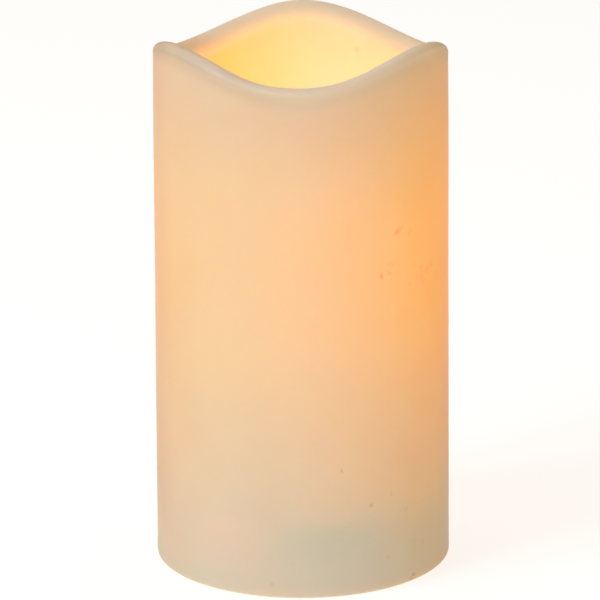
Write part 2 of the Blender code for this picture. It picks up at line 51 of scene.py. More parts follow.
# ---------------------------------------------------------------- scene settings, camera, floor, light
scene = bpy.context.scene
scene.view_settings.view_transform = "Standard"
scene.view_settings.look = "None"
scene.view_settings.exposure = 0.0
scene.view_settings.gamma = 1.0

cam_data = bpy.data.cameras.new("camera")
cam = bpy.data.objects.new("camera", cam_data)
scene.collection.objects.link(cam)
scene.camera = cam
cam_data.sensor_fit = "HORIZONTAL"
cam_data.sensor_width = 36.0
cam_data.lens = 217.95
cam_data.clip_start, cam_data.clip_end = 0.05, 30.0
PITCH, YAW, ROLL = 0.2891, 0.000550, -0.0058
cam.location = (0.0, -0.9840, 0.36677)
turn = (
    Quaternion((0, 0, 1), YAW)
    @ Quaternion((1, 0, 0), pi / 2 - PITCH)
    @ Quaternion((0, 0, 1), ROLL)
)
cam.rotation_mode = "QUATERNION"
cam.rotation_quaternion = turn


def area_light(name, at, target, size, power, colour):
    data = bpy.data.lights.new(name, "AREA")
    data.shape = "DISK"
    data.size = size
    data.energy = power
    data.color = colour
    ob = bpy.data.objects.new(name, data)
    scene.collection.objects.link(ob)
    ob.location = at
    ob.rotation_mode = "QUATERNION"
    ob.rotation_quaternion = (Vector(target) - Vector(at)).to_track_quat("-Z", "Y")
    return ob


area_light("key", (-1.30, -0.80, 1.05), (0, 0, 0.07), 1.1, 14.6, (0.68, 0.80, 1.0))
area_light("top", (0.10, 0.40, 1.50), (0, 0, 0.05), 1.0, 3.0, (0.90, 0.95, 1.0))

lamp_data = bpy.data.lights.new("lamp_glow", "POINT")
lamp_data.energy = 0.05
lamp_data.color = (1.0, 0.62, 0.24)
lamp_data.shadow_soft_size = 0.009
lamp = bpy.data.objects.new("lamp_glow", lamp_data)
scene.collection.objects.link(lamp)
lamp.location = (0.0, 0.0, 0.108)

world = bpy.data.worlds.new("studio")
scene.world = world
world.use_nodes = True
world.node_tree.nodes["Background"].inputs["Color"].default_value = (1.0, 0.94, 0.87, 1.0)
world.node_tree.nodes["Background"].inputs["Strength"].default_value = 0.36


# ---------------------------------------------------------------- node helpers
class Shader:
    """A Principled material with short calls for the nodes around it."""

    def __init__(self, name, colour=(0.8, 0.8, 0.8), roughness=0.5, metallic=0.0, **plain):
        self.mat = bpy.data.materials.new(name)
        self.mat.use_nodes = True
        self.nt = self.mat.node_tree
        self.bsdf = self.nt.nodes["Principled BSDF"]
        self.set("Base Color", (*colour, 1.0))
        self.set("Roughness", roughness)
        self.set("Metallic", metallic)
        for key, value in plain.items():
            self.set(key.replace("_", " "), value)
        self.mat.diffuse_color = (*colour, 1.0)
        self._coords = None

    def set(self, name, value):
        self.bsdf.inputs[name].default_value = value

    def feed(self, name, socket):
        self.nt.links.new(socket, self.bsdf.inputs[name])

    def node(self, kind, **props):
        n = self.nt.nodes.new(kind)
        for key, value in props.items():
            setattr(n, key, value)
        return n

    def into(self, socket, value):
        if isinstance(value, bpy.types.NodeSocket):
            self.nt.links.new(value, socket)
        elif isinstance(value, (tuple, list)) and len(socket.default_value) == 4 and len(value) == 3:
            socket.default_value = (*value, 1.0)
        else:
            socket.default_value = value

    def coords(self):
        if self._coords is None:
            self._coords = self.node("ShaderNodeTexCoord").outputs["Object"]
        return self._coords

    def xyz(self, vector=None):
        n = self.node("ShaderNodeSeparateXYZ")
        self.into(n.inputs[0], vector or self.coords())
        return n.outputs[0], n.outputs[1], n.outputs[2]

    def math(self, op, a, b=0.0, c=0.0, clamp=False):
        n = self.node("ShaderNodeMath", operation=op, use_clamp=clamp)
        for i, v in enumerate((a, b, c)):
            if i < len(n.inputs):
                self.into(n.inputs[i], v)
        return n.outputs[0]

    def vmath(self, op, a, b=(0.0, 0.0, 0.0), scale=1.0, out=0):
        n = self.node("ShaderNodeVectorMath", operation=op)
        self.into(n.inputs[0], a)
        self.into(n.inputs[1], b)
        if op == "SCALE":
            self.into(n.inputs["Scale"], scale)
        return n.outputs["Value"] if op in ("LENGTH", "DISTANCE", "DOT_PRODUCT") else n.outputs[out]

    def span(self, v, a0, a1, b0=0.0, b1=1.0, kind="SMOOTHSTEP"):
        n = self.node("ShaderNodeMapRange", interpolation_type=kind, clamp=True)
        for i, x in enumerate((v, a0, a1, b0, b1)):
            self.into(n.inputs[i], x)
        return n.outputs[0]

    def ramp(self, v, stops, kind="LINEAR"):
        n = self.node("ShaderNodeValToRGB")
        n.color_ramp.interpolation = kind
        els = n.color_ramp.elements
        while len(els) > 1:
            els.remove(els[-1])
        for i, (at, col) in enumerate(stops):
            e = els[0] if i == 0 else els.new(at)
            e.position = at
            col = (col, col, col) if isinstance(col, (int, float)) else col
            e.color = (*col, 1.0)
        self.into(n.inputs[0], v)
        return n.outputs["Color"]

    def mix(self, fac, a, b, kind="MIX"):
        n = self.node("ShaderNodeMix", data_type="RGBA", blend_type=kind)
        n.clamp_factor = True
        self.into(n.inputs[0], fac)
        self.into(n.inputs[6], a)
        self.into(n.inputs[7], b)
        return n.outputs[2]

    def noise(self, scale, detail=3.0, rough=0.5, vector=None, distortion=0.0):
        n = self.node("ShaderNodeTexNoise")
        self.into(n.inputs["Vector"], vector or self.coords())
        n.inputs["Scale"].default_value = scale
        n.inputs["Detail"].default_value = detail
        n.inputs["Roughness"].default_value = rough
        n.inputs["Distortion"].default_value = distortion
        return n.outputs[0]

    def cells(self, scale, vector=None, feature="F1", randomness=1.0):
        n = self.node("ShaderNodeTexVoronoi", feature=feature)
        self.into(n.inputs["Vector"], vector or self.coords())
        n.inputs["Scale"].default_value = scale
        n.inputs["Randomness"].default_value = randomness
        return n.outputs[0]

    def bump(self, height, strength, distance, normal=None):
        n = self.node("ShaderNodeBump")
        n.inputs["Strength"].default_value = strength
        n.inputs["Distance"].default_value = distance
        self.into(n.inputs["Height"], height)
        if normal is not None:
            self.into(n.inputs["Normal"], normal)
        return n.outputs[0]


# ---------------------------------------------------------------- mesh helpers
def link(name, mesh, shader, stands_for=(), body=BODY, sharp=40.0, even=False):
    if even:
        mesh = even_normals(mesh, sharp)
    else:
        mesh.shade_smooth()
        if sharp is not None:
            mesh.set_sharp_from_angle(angle=radians(sharp))
    mesh.materials.clear()
    mesh.materials.append(shader.mat)
    ob = bpy.data.objects.new(name, mesh)
    scene.collection.objects.link(ob)
    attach(ob, body)
    if stands_for:
        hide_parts(*stands_for)
    return ob


def lathe_mesh(name, profile, steps, closed=False, at=(0.0, 0.0)):
    """Profile of (radius, z), outer side downwards; points on the axis become one vertex."""
    bm = bmesh.new()
    rings = []
    for r, z in profile:
        if r < 1e-7:
            rings.append([bm.verts.new((at[0], at[1], z))])
        else:
            rings.append([
                bm.verts.new((at[0] + r * cos(2 * pi * i / steps), at[1] + r * sin(2 * pi * i / steps), z))
                for i in range(steps)
            ])
    pairs = list(zip(rings, rings[1:])) + ([(rings[-1], rings[0])] if closed else [])
    for a, b in pairs:
        for i in range(steps):
            j = (i + 1) % steps
            loop = [a[i % len(a)], b[i % len(b)], b[j % len(b)], a[j % len(a)]]
            face = []
            for v in loop:
                if v not in face:
                    face.append(v)
            if len(face) > 2:
                bm.faces.new(face)
    bm.normal_update()
    mesh = bpy.data.meshes.new(name)
    bm.to_mesh(mesh)
    bm.free()
    return mesh


def rounded(points, radius, n=4, closed=False):
    """A profile whose corners are rounded, each by at most 0.45 of its shorter side."""
    pts = [Vector((p[0], p[1])) for p in points]
    radii = radius if isinstance(radius, (list, tuple)) else [radius] * len(pts)
    out = []
    count = len(pts)
    for i, p in enumerate(pts):
        if (not closed and i in (0, count - 1)) or radii[i] <= 0:
            out.append((p.x, p.y))
            continue
        a, b = pts[i - 1] - p, pts[(i + 1) % count] - p
        la, lb = a.length, b.length
        a, b = a / la, b / lb
        half = max(min(a.angle(b) / 2, pi / 2 - 1e-4), 1e-3)
        back = min(radii[i] / max(sin(half) / cos(half), 1e-6), 0.45 * la, 0.45 * lb)
        p0, p1 = p + a * back, p + b * back
        for k in range(n + 1):
            t = k / n
            q = (1 - t) ** 2 * p0 + 2 * t * (1 - t) * p + t * t * p1
            out.append((q.x, q.y))
    return out


def box_mesh(bm, low, high, matrix=None):
    low, high = Vector(low), Vector(high)
    made = bmesh.ops.create_cube(bm, size=1.0)["verts"]
    bmesh.ops.scale(bm, vec=high - low, verts=made)
    bmesh.ops.translate(bm, vec=(low + high) / 2, verts=made)
    if matrix is not None:
        bmesh.ops.transform(bm, matrix=matrix, verts=made)
    return made


def temp(name, bm):
    mesh = bpy.data.meshes.new(name)
    bm.to_mesh(mesh)
    bm.free()
    ob = bpy.data.objects.new(name, mesh)
    scene.collection.objects.link(ob)
    return ob


def temp_mesh(name, mesh):
    ob = bpy.data.objects.new(name, mesh)
    scene.collection.objects.link(ob)
    return ob


def finished(ob, name):
    """The evaluated mesh of a scratch object, which is then removed."""
    bpy.context.view_layer.update()
    dg = bpy.context.evaluated_depsgraph_get()
    mesh = bpy.data.meshes.new_from_object(ob.evaluated_get(dg), depsgraph=dg)
    mesh.name = name
    bpy.data.objects.remove(ob, do_unlink=True)
    return mesh


def even_normals(mesh, sharp=28.0):
    """Lets broad flat faces keep their own shading next to rounded edges."""
    mesh.shade_smooth()
    mesh.set_sharp_from_angle(angle=radians(sharp))
    ob = temp_mesh(mesh.name, mesh)
    mod = ob.modifiers.new("even", "WEIGHTED_NORMAL")
    mod.mode = "FACE_AREA"
    mod.weight = 100
    mod.keep_sharp = True
    return finished(ob, mesh.name)


def boolean(ob, other, op="DIFFERENCE"):
    mod = ob.modifiers.new("cut", "BOOLEAN")
    mod.operation, mod.solver, mod.object = op, "EXACT", other
    bpy.context.view_layer.update()
    dg = bpy.context.evaluated_depsgraph_get()
    mesh = bpy.data.meshes.new_from_object(ob.evaluated_get(dg), depsgraph=dg)
    ob.modifiers.clear()
    ob.data = mesh
    bpy.data.objects.remove(other, do_unlink=True)
    return ob


def softened(node, width, segments=2, angle=32.0):
    """A copy of a CAD node's mesh with its edges rounded."""
    bm = bmesh.new()
    bm.from_mesh(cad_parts[node].data)
    bmesh.ops.remove_doubles(bm, verts=bm.verts, dist=2e-6)
    bmesh.ops.dissolve_limit(
        bm, angle_limit=radians(1.0), verts=bm.verts, edges=bm.edges, use_dissolve_boundaries=False
    )
    bm.normal_update()
    ob = temp(node + "_fine", bm)
    mod = ob.modifiers.new("round", "BEVEL")
    mod.width = width
    mod.segments = segments
    mod.limit_method = "ANGLE"
    mod.angle_limit = radians(angle)
    mod.use_clamp_overlap = True
    mod.miter_outer = "MITER_ARC"
    mod.harden_normals = False
    return finished(ob, node + "_fine")


# ---------------------------------------------------------------- wax
def wave(angle):
    return -WAVE_3 * cos(3 * (angle - WAVE_PHASE)) + WAVE_6 * cos(6 * (angle - WAVE_PHASE))


def pillar_radius(z):
    return RIM_RADIUS + (FOOT_RADIUS - RIM_RADIUS) * (RIM_HEIGHT - z) / RIM_HEIGHT


def bore_radius(z):
    share = (z - RECESS_TOP) / (RIM_HEIGHT - RECESS_TOP)
    return BORE_LOW + (BORE_RIM - BORE_LOW) * share


def smooth(t):
    t = min(max(t, 0.0), 1.0)
    return t * t * (3 - 2 * t)


def wax_mesh():
    around = 240
    lip_in = WALL - LIP_OUT
    top = RIM_HEIGHT
    profile = []                               # (radius, z, how far out: 1 outside, 0 inside)
    for i in range(9):
        a = pi / 2 * (1 - i / 9)
        profile.append((RIM_RADIUS - LIP_OUT + LIP_OUT * cos(a), top - LIP_OUT + LIP_OUT * sin(a)))
    z = top - LIP_OUT
    while z > 0.006:
        profile.append((pillar_radius(z), z))
        z -= 0.0016 if z > 0.130 else 0.0030
    foot = pillar_radius(FOOT_ROUND)
    profile.append((pillar_radius(0.0032), 0.0032))
    for i in range(7):
        a = pi / 2 * i / 6
        profile.append((foot - FOOT_ROUND + FOOT_ROUND * cos(a), FOOT_ROUND - FOOT_ROUND * sin(a)))
    profile += [(0.0388, 0.0), (RECESS_RADIUS + 0.0004, 0.0), (RECESS_RADIUS + 0.0001, 0.0001), (RECESS_RADIUS, 0.0004)]
    profile += [(RECESS_RADIUS, 0.0090), (RECESS_RADIUS, 0.0180), (RECESS_RADIUS, RECESS_TOP), (BORE_LOW + 0.0004, RECESS_TOP)]
    profile.append((BORE_LOW, RECESS_TOP + 0.0004))
    z = 0.0290
    while z < top - lip_in - 0.0010:
        profile.append((bore_radius(z), z))
        z += 0.0030
    for i in range(14):
        a = pi / 2 * i / 14
        profile.append((BORE_RIM + lip_in - lip_in * cos(a), top - lip_in + lip_in * sin(a)))

    bm = bmesh.new()
    rings = []
    for r, z in profile:
        ring = []
        for i in range(around):
            t = 2 * pi * i / around
            x, y = cos(t), sin(t)
            angle = atan2(x, -y)
            rise = smooth((z - 0.098) / 0.044)
            zz = z + wave(angle) * rise
            # the hand of the melt: a rim that is never quite even, a wall that is never quite true
            lip = smooth((z - 0.132) / 0.014)
            wobble = noise.noise(Vector((x * 2.3, y * 2.3, 4.1)))
            fine = noise.noise(Vector((x * 7.0, y * 7.0, 1.7 + z * 40)))
            sag = 0.00034 * exp(-((angle + 0.70) / 0.24) ** 2) + 0.00010 * exp(-(angle / 0.60) ** 2)
            zz += lip * (0.00022 * wobble - 0.00010 + sag)
            rr = r
            if r > 0.0385:
                rr -= 0.00012 * (0.5 + 0.5 * noise.noise(Vector((x * 3.0, y * 3.0, z * 30.0)))) * smooth(z / 0.004)
                rr -= lip * 0.00014 * (0.5 + 0.5 * fine)
            elif z > RECESS_TOP + 0.001:
                rr += 0.00035 * noise.noise(Vector((x * 2.0, y * 2.0, z * 45.0 + 9.0))) * (1 - lip)
                rr -= lip * 0.00022 * fine * (1.0 if r < 0.0375 else 0.3)
            ring.append(bm.verts.new((rr * x, rr * y, zz)))
        rings.append(ring)
    for a, b in list(zip(rings, rings[1:])) + [(rings[-1], rings[0])]:
        for i in range(around):
            j = (i + 1) % around
            bm.faces.new((a[i], b[i], b[j], a[j]))
    bm.normal_update()
    mesh = bpy.data.meshes.new("wax_pillar")
    bm.to_mesh(mesh)
    bm.free()
    return mesh


DIMPLE = (0.0162, 0.0304, 0.1395)

# share of the lamp's glow that comes through the wall, by height in metres
GLOW = (
    (0.000, 0.00), (0.010, 0.01), (0.016, 0.05), (0.022, 0.17), (0.028, 0.31), (0.034, 0.41), (0.040, 0.48),
    (0.052, 0.61), (0.064, 0.79), (0.076, 0.92), (0.088, 0.99), (0.097, 1.00), (0.106, 0.98), (0.112, 0.93),
    (0.118, 0.85), (0.124, 0.74), (0.130, 0.62), (0.136, 0.51), (0.142, 0.40), (0.148, 0.28), (0.153, 0.18),
)


def wax_shader():
    s = Shader("wax_ivory_lit", (0.80, 0.66, 0.47), 0.42)
    x, y, z = s.xyz()
    r = s.math("SQRT", s.math("ADD", s.math("MULTIPLY", x, x), s.math("MULTIPLY", y, y)))
    angle = s.math("SUBTRACT", s.math("ARCTAN2", x, s.math("MULTIPLY", y, -1.0)), WAVE_PHASE)
    crest = s.math(
        "ADD",
        s.math("MULTIPLY", s.math("COSINE", s.math("MULTIPLY", angle, 3.0)), -WAVE_3),
        RIM_HEIGHT,
    )
    below = s.math("SUBTRACT", crest, z)                       # metres under the rim's crest
    outer = s.span(r, 0.0362, 0.0396)                          # 0 on the bore, 1 outside
    # soft unevenness of poured wax, from a hand's width down to a few millimetres
    broad = s.noise(28.0, 2.0, 0.45)
    mottle = s.noise(95.0, 4.0, 0.55)
    fine = s.noise(420.0, 3.0, 0.6)
    # ---- how much of the lamp shows through, outside
    up = s.math("DIVIDE", s.math("ADD", z, s.span(broad, 0.3, 0.7, -0.0025, 0.0025, "LINEAR")), 0.160)
    glow = s.ramp(up, [(h / 0.160, g) for h, g in GLOW], "B_SPLINE")
    lip_fade = s.span(below, 0.0004, 0.0075, 0.45, 1.0)
    glow = s.math("MULTIPLY", glow, lip_fade)
    # painted light and shade from side to side: the wax's tone drifts along X, palest in the middle
    # and warmer and deeper towards both sides, where less light falls
    painted_light_drift = s.math("ADD", s.math("DIVIDE", x, RIM_RADIUS), s.span(broad, 0.3, 0.7, -0.06, 0.06, "LINEAR"))
    across = s.span(painted_light_drift, -1.0, 1.0, 0.0, 1.0, "LINEAR")
    # ---- colour of the wax: ivory where no light comes through, more amber where it does; across X both ramps also carry the painted light and shade
    ivory = s.ramp(across, (
        (0.00, (0.790, 0.560, 0.362)), (0.12, (0.792, 0.612, 0.418)), (0.25, (0.792, 0.645, 0.464)),
        (0.40, (0.792, 0.655, 0.477)), (0.50, (0.785, 0.672, 0.500)), (0.75, (0.785, 0.668, 0.488)),
        (0.88, (0.768, 0.612, 0.400)), (1.00, (0.742, 0.545, 0.318)),
    ), "CARDINAL")
    amber = s.ramp(across, (
        (0.00, (0.780, 0.572, 0.248)), (0.18, (0.788, 0.618, 0.332)), (0.40, (0.790, 0.638, 0.372)),
        (0.60, (0.792, 0.638, 0.372)), (0.82, (0.792, 0.620, 0.272)), (0.93, (0.785, 0.592, 0.178)),
        (1.00, (0.775, 0.575, 0.140)),
    ), "CARDINAL")
    base_out = s.mix(glow, ivory, amber)
    # low down, where the battery module stands against the wall, no stray light leaks past it: cooler and
    # soft-edged there, warmer beside it
    low = s.span(s.math("ADD", z, s.span(broad, 0.3, 0.7, -0.0015, 0.0015, "LINEAR")), 0.0195, 0.0250, 1.0, 0.0)
    turn_about = s.math("ADD", angle, s.span(mottle, 0.3, 0.7, -0.02, 0.02, "LINEAR"))
    shut = s.math("MULTIPLY", s.span(turn_about, -0.22, 0.17), s.span(turn_about, 0.30, 0.75, 1.0, 0.0))
    shut = s.math("MULTIPLY", s.math("MULTIPLY", shut, low), s.span(z, 0.005, 0.019, 0.10, 1.0))
    base_out = s.mix(shut, base_out, s.mix(1.0, base_out, (0.908, 0.977, 1.0), "MULTIPLY"))
    beside = s.math("MULTIPLY", s.span(turn_about, -0.40, -0.12, 1.0, 0.0), s.span(turn_about, -0.95, -0.50))
    beside = s.math("MULTIPLY", s.math("MULTIPLY", beside, low), s.span(z, 0.004, 0.015))
    base_out = s.mix(beside, base_out, s.mix(1.0, base_out, (1.075, 1.0, 0.985), "MULTIPLY"))
    # the very foot is duller on that side
    dull = s.math("MULTIPLY", s.span(z, 0.0005, 0.0080, 1.0, 0.0), s.span(turn_about, -0.85, -0.20, 1.0, 0.0))
    base_out = s.mix(dull, base_out, s.mix(1.0, base_out, (0.902, 1.006, 1.025), "MULTIPLY"))
    # inside, the wax is bathed in the lamp's own light
    deep = s.span(below, 0.0008, 0.0080)
    lit_in = s.math("MULTIPLY", deep, s.span(z, 0.020, 0.045, 0.0, 1.0))
    base_in = s.mix(lit_in, ivory, (0.86, 0.675, 0.34))
    base = s.mix(outer, base_in, base_out)
    # the lip: a painted highlight, paler along its rounded top
    side = s.math("ABSOLUTE", painted_light_drift)
    painted_lip_highlight = s.math("MULTIPLY", s.span(below, 0.0004, 0.0038, 0.85, 0.0), s.span(side, 0.55, 0.95, 1.0, 0.30))
    painted_lip_highlight = s.math("MULTIPLY", painted_lip_highlight, s.span(painted_light_drift, -1.0, -0.50, 0.0, 1.0))
    base = s.mix(painted_lip_highlight, base, (0.834, 0.704, 0.540))
    # a little deeper in tone just under that highlight, where the wall turns away from the lip: painted shade
    under = s.math("MULTIPLY", s.span(below, 0.0009, 0.0023), s.span(below, 0.0028, 0.0064, 1.0, 0.0))
    under = s.math("MULTIPLY", s.math("MULTIPLY", under, outer), s.span(painted_light_drift, -0.80, 0.50, 1.0, 0.22))
    base = s.mix(under, base, s.mix(1.0, base, (0.900, 0.848, 0.812), "MULTIPLY"))
    upper = s.math("MULTIPLY", s.math("MULTIPLY", s.span(z, 0.116, 0.134), s.span(below, 0.002, 0.006)), outer)
    base = s.mix(upper, base, s.mix(1.0, base, (1.0, 0.960, 0.945), "MULTIPLY"))
    # painted shade on the front-left of the lip, toning it down where the key light falls
    painted_lip_shade_left = s.math("MULTIPLY", s.span(below, 0.0003, 0.0010), s.span(below, 0.0018, 0.0036, 1.0, 0.0))
    painted_lip_shade_left = s.math("MULTIPLY", s.math("MULTIPLY", painted_lip_shade_left, outer), s.span(painted_light_drift, -0.76, -0.50, 1.0, 0.0))
    base = s.mix(painted_lip_shade_left, base, s.mix(1.0, base, (0.86, 0.93, 0.96), "MULTIPLY"))
    # painted shade: a second, narrower darkening on the front of the lip's left part
    sheen = s.math("MULTIPLY", s.span(below, -0.0002, 0.0004), s.span(below, 0.0014, 0.0030, 1.0, 0.0))
    sheen = s.math("MULTIPLY", s.math("MULTIPLY", sheen, s.span(y, -0.012, -0.004, 1.0, 0.0)), outer)
    sheen = s.math("MULTIPLY", s.math("MULTIPLY", sheen, s.span(painted_light_drift, -0.92, -0.72)), s.span(painted_light_drift, -0.52, -0.22, 1.0, 0.0))
    base = s.mix(sheen, base, s.mix(1.0, base, (0.925, 0.900, 0.915), "MULTIPLY"))
    # painted shade on the lip towards both sides
    painted_lip_end_shade = s.math("MULTIPLY", s.span(below, 0.0004, 0.0060, 1.0, 0.0), s.span(side, 0.83, 0.93))
    base = s.mix(s.math("MULTIPLY", painted_lip_end_shade, 0.75), base, s.mix(1.0, base, (0.78, 0.78, 0.80), "MULTIPLY"))
    # painted shade, a shade deeper towards both sides along X
    painted_side_shade = s.math("MULTIPLY", s.span(x, -0.0416, -0.0345, 1.0, 0.0), s.span(z, 0.008, 0.026, 0.30, 1.0))
    base = s.mix(painted_side_shade, base, s.mix(1.0, base, (0.935, 0.890, 0.910), "MULTIPLY"))
    base = s.mix(s.span(x, 0.0370, 0.0416), base, s.mix(1.0, base, (0.930, 0.925, 0.960), "MULTIPLY"))
    # painted shade and warmth along the -X side, low down
    painted_left_edge_shade = s.math("MULTIPLY", s.span(x, -0.0412, -0.0375, 1.0, 0.0), s.span(z, 0.040, 0.058, 1.0, 0.0))
    painted_left_edge_shade = s.math("MULTIPLY", painted_left_edge_shade, s.span(z, 0.006, 0.016))
    base = s.mix(painted_left_edge_shade, base, s.mix(1.0, base, (0.990, 0.962, 0.905), "MULTIPLY"))
    painted_left_edge_shade = s.math("MULTIPLY", s.span(x, -0.0412, -0.0382, 1.0, 0.0), s.span(z, 0.008, 0.014, 1.0, 0.0))
    base = s.mix(painted_left_edge_shade, base, s.mix(1.0, base, (0.945, 1.0, 0.990), "MULTIPLY"))
    # painted light on the +X side: the glow is redder beneath the lamp and paler, bluer around it
    painted_glow_redder = s.math("MULTIPLY", s.span(z, 0.024, 0.040), s.span(z, 0.058, 0.078, 1.0, 0.0))
    painted_glow_redder = s.math("MULTIPLY", s.math("MULTIPLY", painted_glow_redder, outer), s.span(painted_light_drift, 0.40, 0.82))
    base = s.mix(painted_glow_redder, base, s.mix(1.0, base, (1.0, 0.948, 1.0), "MULTIPLY"))
    painted_glow_bluer = s.math("MULTIPLY", s.span(z, 0.056, 0.074), s.span(z, 0.116, 0.132, 1.0, 0.0))
    painted_glow_bluer = s.math("MULTIPLY", s.math("MULTIPLY", painted_glow_bluer, outer), s.span(painted_light_drift, 0.22, 0.50))
    base = s.mix(painted_glow_bluer, base, s.mix(1.0, base, (1.0, 1.0, 1.060), "MULTIPLY"))
    # clouding of the pour
    base = s.mix(s.span(mottle, 0.30, 0.70, 0.0, 0.30, "LINEAR"), base, s.mix(0.12, base, (1.0, 0.90, 0.72)))
    # ---- blemishes: orange flecks where dirt sits deep in lit wax, a few dull specks low down
    ragged = s.noise(1100.0, 3.0, 0.65)

    def spots(marks):
        out = None
        for angle_deg, h, size, strength in marks:
            t = radians(angle_deg)
            rad = pillar_radius(h)
            spot = (rad * sin(t), -rad * cos(t), h)
            warped = s.math(
                "ADD", s.vmath("DISTANCE", s.coords(), spot), s.span(ragged, 0.3, 0.7, -0.0006, 0.0006, "LINEAR")
            )
            mark = s.span(warped, 0.0001, size, strength, 0.0)
            out = mark if out is None else s.math("MAXIMUM", out, mark)
        return out

    flecks = spots((
        (39.2, 0.1029, 0.0013, 1.0), (40.1, 0.1031, 0.0011, 0.60), (41.4, 0.1036, 0.0009, 0.34),
        (45.4, 0.1014, 0.0010, 0.30), (46.2, 0.1021, 0.0010, 0.34), (31.6, 0.0912, 0.0010, 0.90),
        (31.4, 0.0922, 0.0009, 0.35), (35.6, 0.0915, 0.0009, 0.42), (35.2, 0.0942, 0.0012, 0.22),
        (37.0, 0.0940, 0.0012, 0.25), (48.3, 0.0921, 0.0012, 0.22), (52.5, 0.0909, 0.0012, 0.30),
        (56.8, 0.0896, 0.0019, 0.52), (59.4, 0.0905, 0.0014, 0.46), (53.0, 0.0880, 0.0019, 0.46),
        (54.1, 0.0865, 0.0010, 0.42), (50.4, 0.0884, 0.0015, 0.34), (45.4, 0.0870, 0.0009, 0.25),
    ))
    base = s.mix(s.math("MULTIPLY", flecks, 0.60), base, (0.80, 0.40, 0.15))
    specks = spots((
        (14.8, 0.0370, 0.0009, 0.50), (26.9, 0.0257, 0.0009, 0.50), (36.2, 0.0279, 0.0008, 0.22),
        (43.3, 0.0222, 0.0008, 0.25), (53.3, 0.0108, 0.0009, 0.20), (34.3, 0.0098, 0.0009, 0.25),
        (47.6, 0.0019, 0.0010, 0.75), (46.0, 0.0010, 0.0012, 0.40), (-11.9, 0.0040, 0.0009, 0.25),
        (-74.0, 0.0610, 0.0009, 0.30), (128.0, 0.0520, 0.0010, 0.40), (171.0, 0.0960, 0.0009, 0.30),
        (214.0, 0.0330, 0.0009, 0.40), (247.0, 0.0780, 0.0010, 0.30),
    ))
    base = s.mix(s.math("MULTIPLY", specks, 0.75), base, (0.54, 0.34, 0.22))
    # one shallow dimple on the bore's back wall: a bump, with painted shade in it
    dimple = s.span(s.vmath("DISTANCE", s.coords(), DIMPLE), 0.0002, 0.0015, 0.24, 0.0)
    base = s.mix(dimple, base, (0.70, 0.38, 0.12))
    s.feed("Base Color", base)
    # ---- emission
    e_out = s.ramp(across, (
        (0.00, (0.190, 0.000, 0.0)), (0.18, (0.220, 0.040, 0.0)), (0.40, (0.300, 0.072, 0.0)),
        (0.60, (0.395, 0.094, 0.0)), (0.82, (0.445, 0.094, 0.0)), (0.93, (0.425, 0.048, 0.0)),
        (1.00, (0.400, 0.014, 0.0)),
    ), "CARDINAL")
    e_out = s.mix(glow, (0.0, 0.0, 0.0), e_out)
    e_high = s.ramp(across, (
        (0.16, (0.320, 0.205, 0.112)), (0.31, (0.262, 0.250, 0.146)), (0.50, (0.160, 0.226, 0.144)),
        (0.69, (0.165, 0.188, 0.140)), (0.80, (0.080, 0.110, 0.064)),
    ), "CARDINAL")
    e_low = s.mix(s.span(below, 0.0004, 0.0050), (0.04, 0.018, 0.0), e_high)
    e_deep = s.ramp(across, (
        (0.00, (0.36, 0.110, 0.000)), (0.17, (0.36, 0.146, 0.006)), (0.29, (0.36, 0.204, 0.064)),
        (0.50, (0.36, 0.214, 0.142)), (0.71, (0.36, 0.178, 0.146)), (0.83, (0.36, 0.138, 0.134)),
        (1.00, (0.36, 0.120, 0.124)),
    ), "CARDINAL")
    paler = s.math("MULTIPLY", s.span(below, 0.010, 0.034), s.span(across, 0.35, 0.65))
    e_deep = s.mix(paler, e_deep, (0.0, 0.004, 0.078), "ADD")
    e_in = s.mix(s.span(below, 0.0025, 0.0077), e_low, e_deep)
    e_in = s.mix(s.span(z, 0.027, 0.060), (0.24, 0.11, 0.03), e_in)
    e_in = s.mix(s.span(z, 0.0262, 0.0275), (0.0, 0.0, 0.0), e_in)
    emit = s.mix(outer, e_in, e_out)
    # light that has crept up through the lip: more on the side of the taller, thinner rise at the back
    lip_light = s.mix(s.span(y, -0.010, 0.030), (0.042, 0.036, 0.010), (0.098, 0.054, 0.008))
    emit = s.mix(s.span(below, 0.0010, 0.0058, 1.0, 0.0), emit, lip_light, "ADD")
    emit = s.mix(s.math("MULTIPLY", flecks, 0.75), emit, s.mix(1.0, emit, (1.0, 0.25, 0.2), "MULTIPLY"))
    emit = s.mix(s.math("MULTIPLY", s.math("MAXIMUM", specks, dimple), 0.5), emit, (0.0, 0.0, 0.0))
    s.feed("Emission Color", emit)
    s.set("Emission Strength", 1.0)
    # ---- surface
    s.set("Subsurface Weight", 0.45)
    s.set("Subsurface Radius", (1.0, 0.52, 0.24))
    s.set("Subsurface Scale", 0.0042)
    s.set("IOR", 1.44)
    s.set("Specular IOR Level", 0.06)
    s.feed("Roughness", s.span(mottle, 0.25, 0.75, 0.38, 0.50, "LINEAR"))
    height = s.math("ADD", s.math("MULTIPLY", mottle, 0.7), s.math("MULTIPLY", fine, 0.3))
    pits = s.span(s.cells(260.0), 0.02, 0.10, 0.0, 1.0)
    height = s.math("ADD", height, s.math("MULTIPLY", pits, 0.05))
    height = s.math("SUBTRACT", height, s.math("MULTIPLY", dimple, 1.2))
    s.feed("Normal", s.bump(height, 0.20, 0.00035))
    return s


wax = link("wax_pillar", wax_mesh(), wax_shader(), ("wax_shell",), sharp=None)


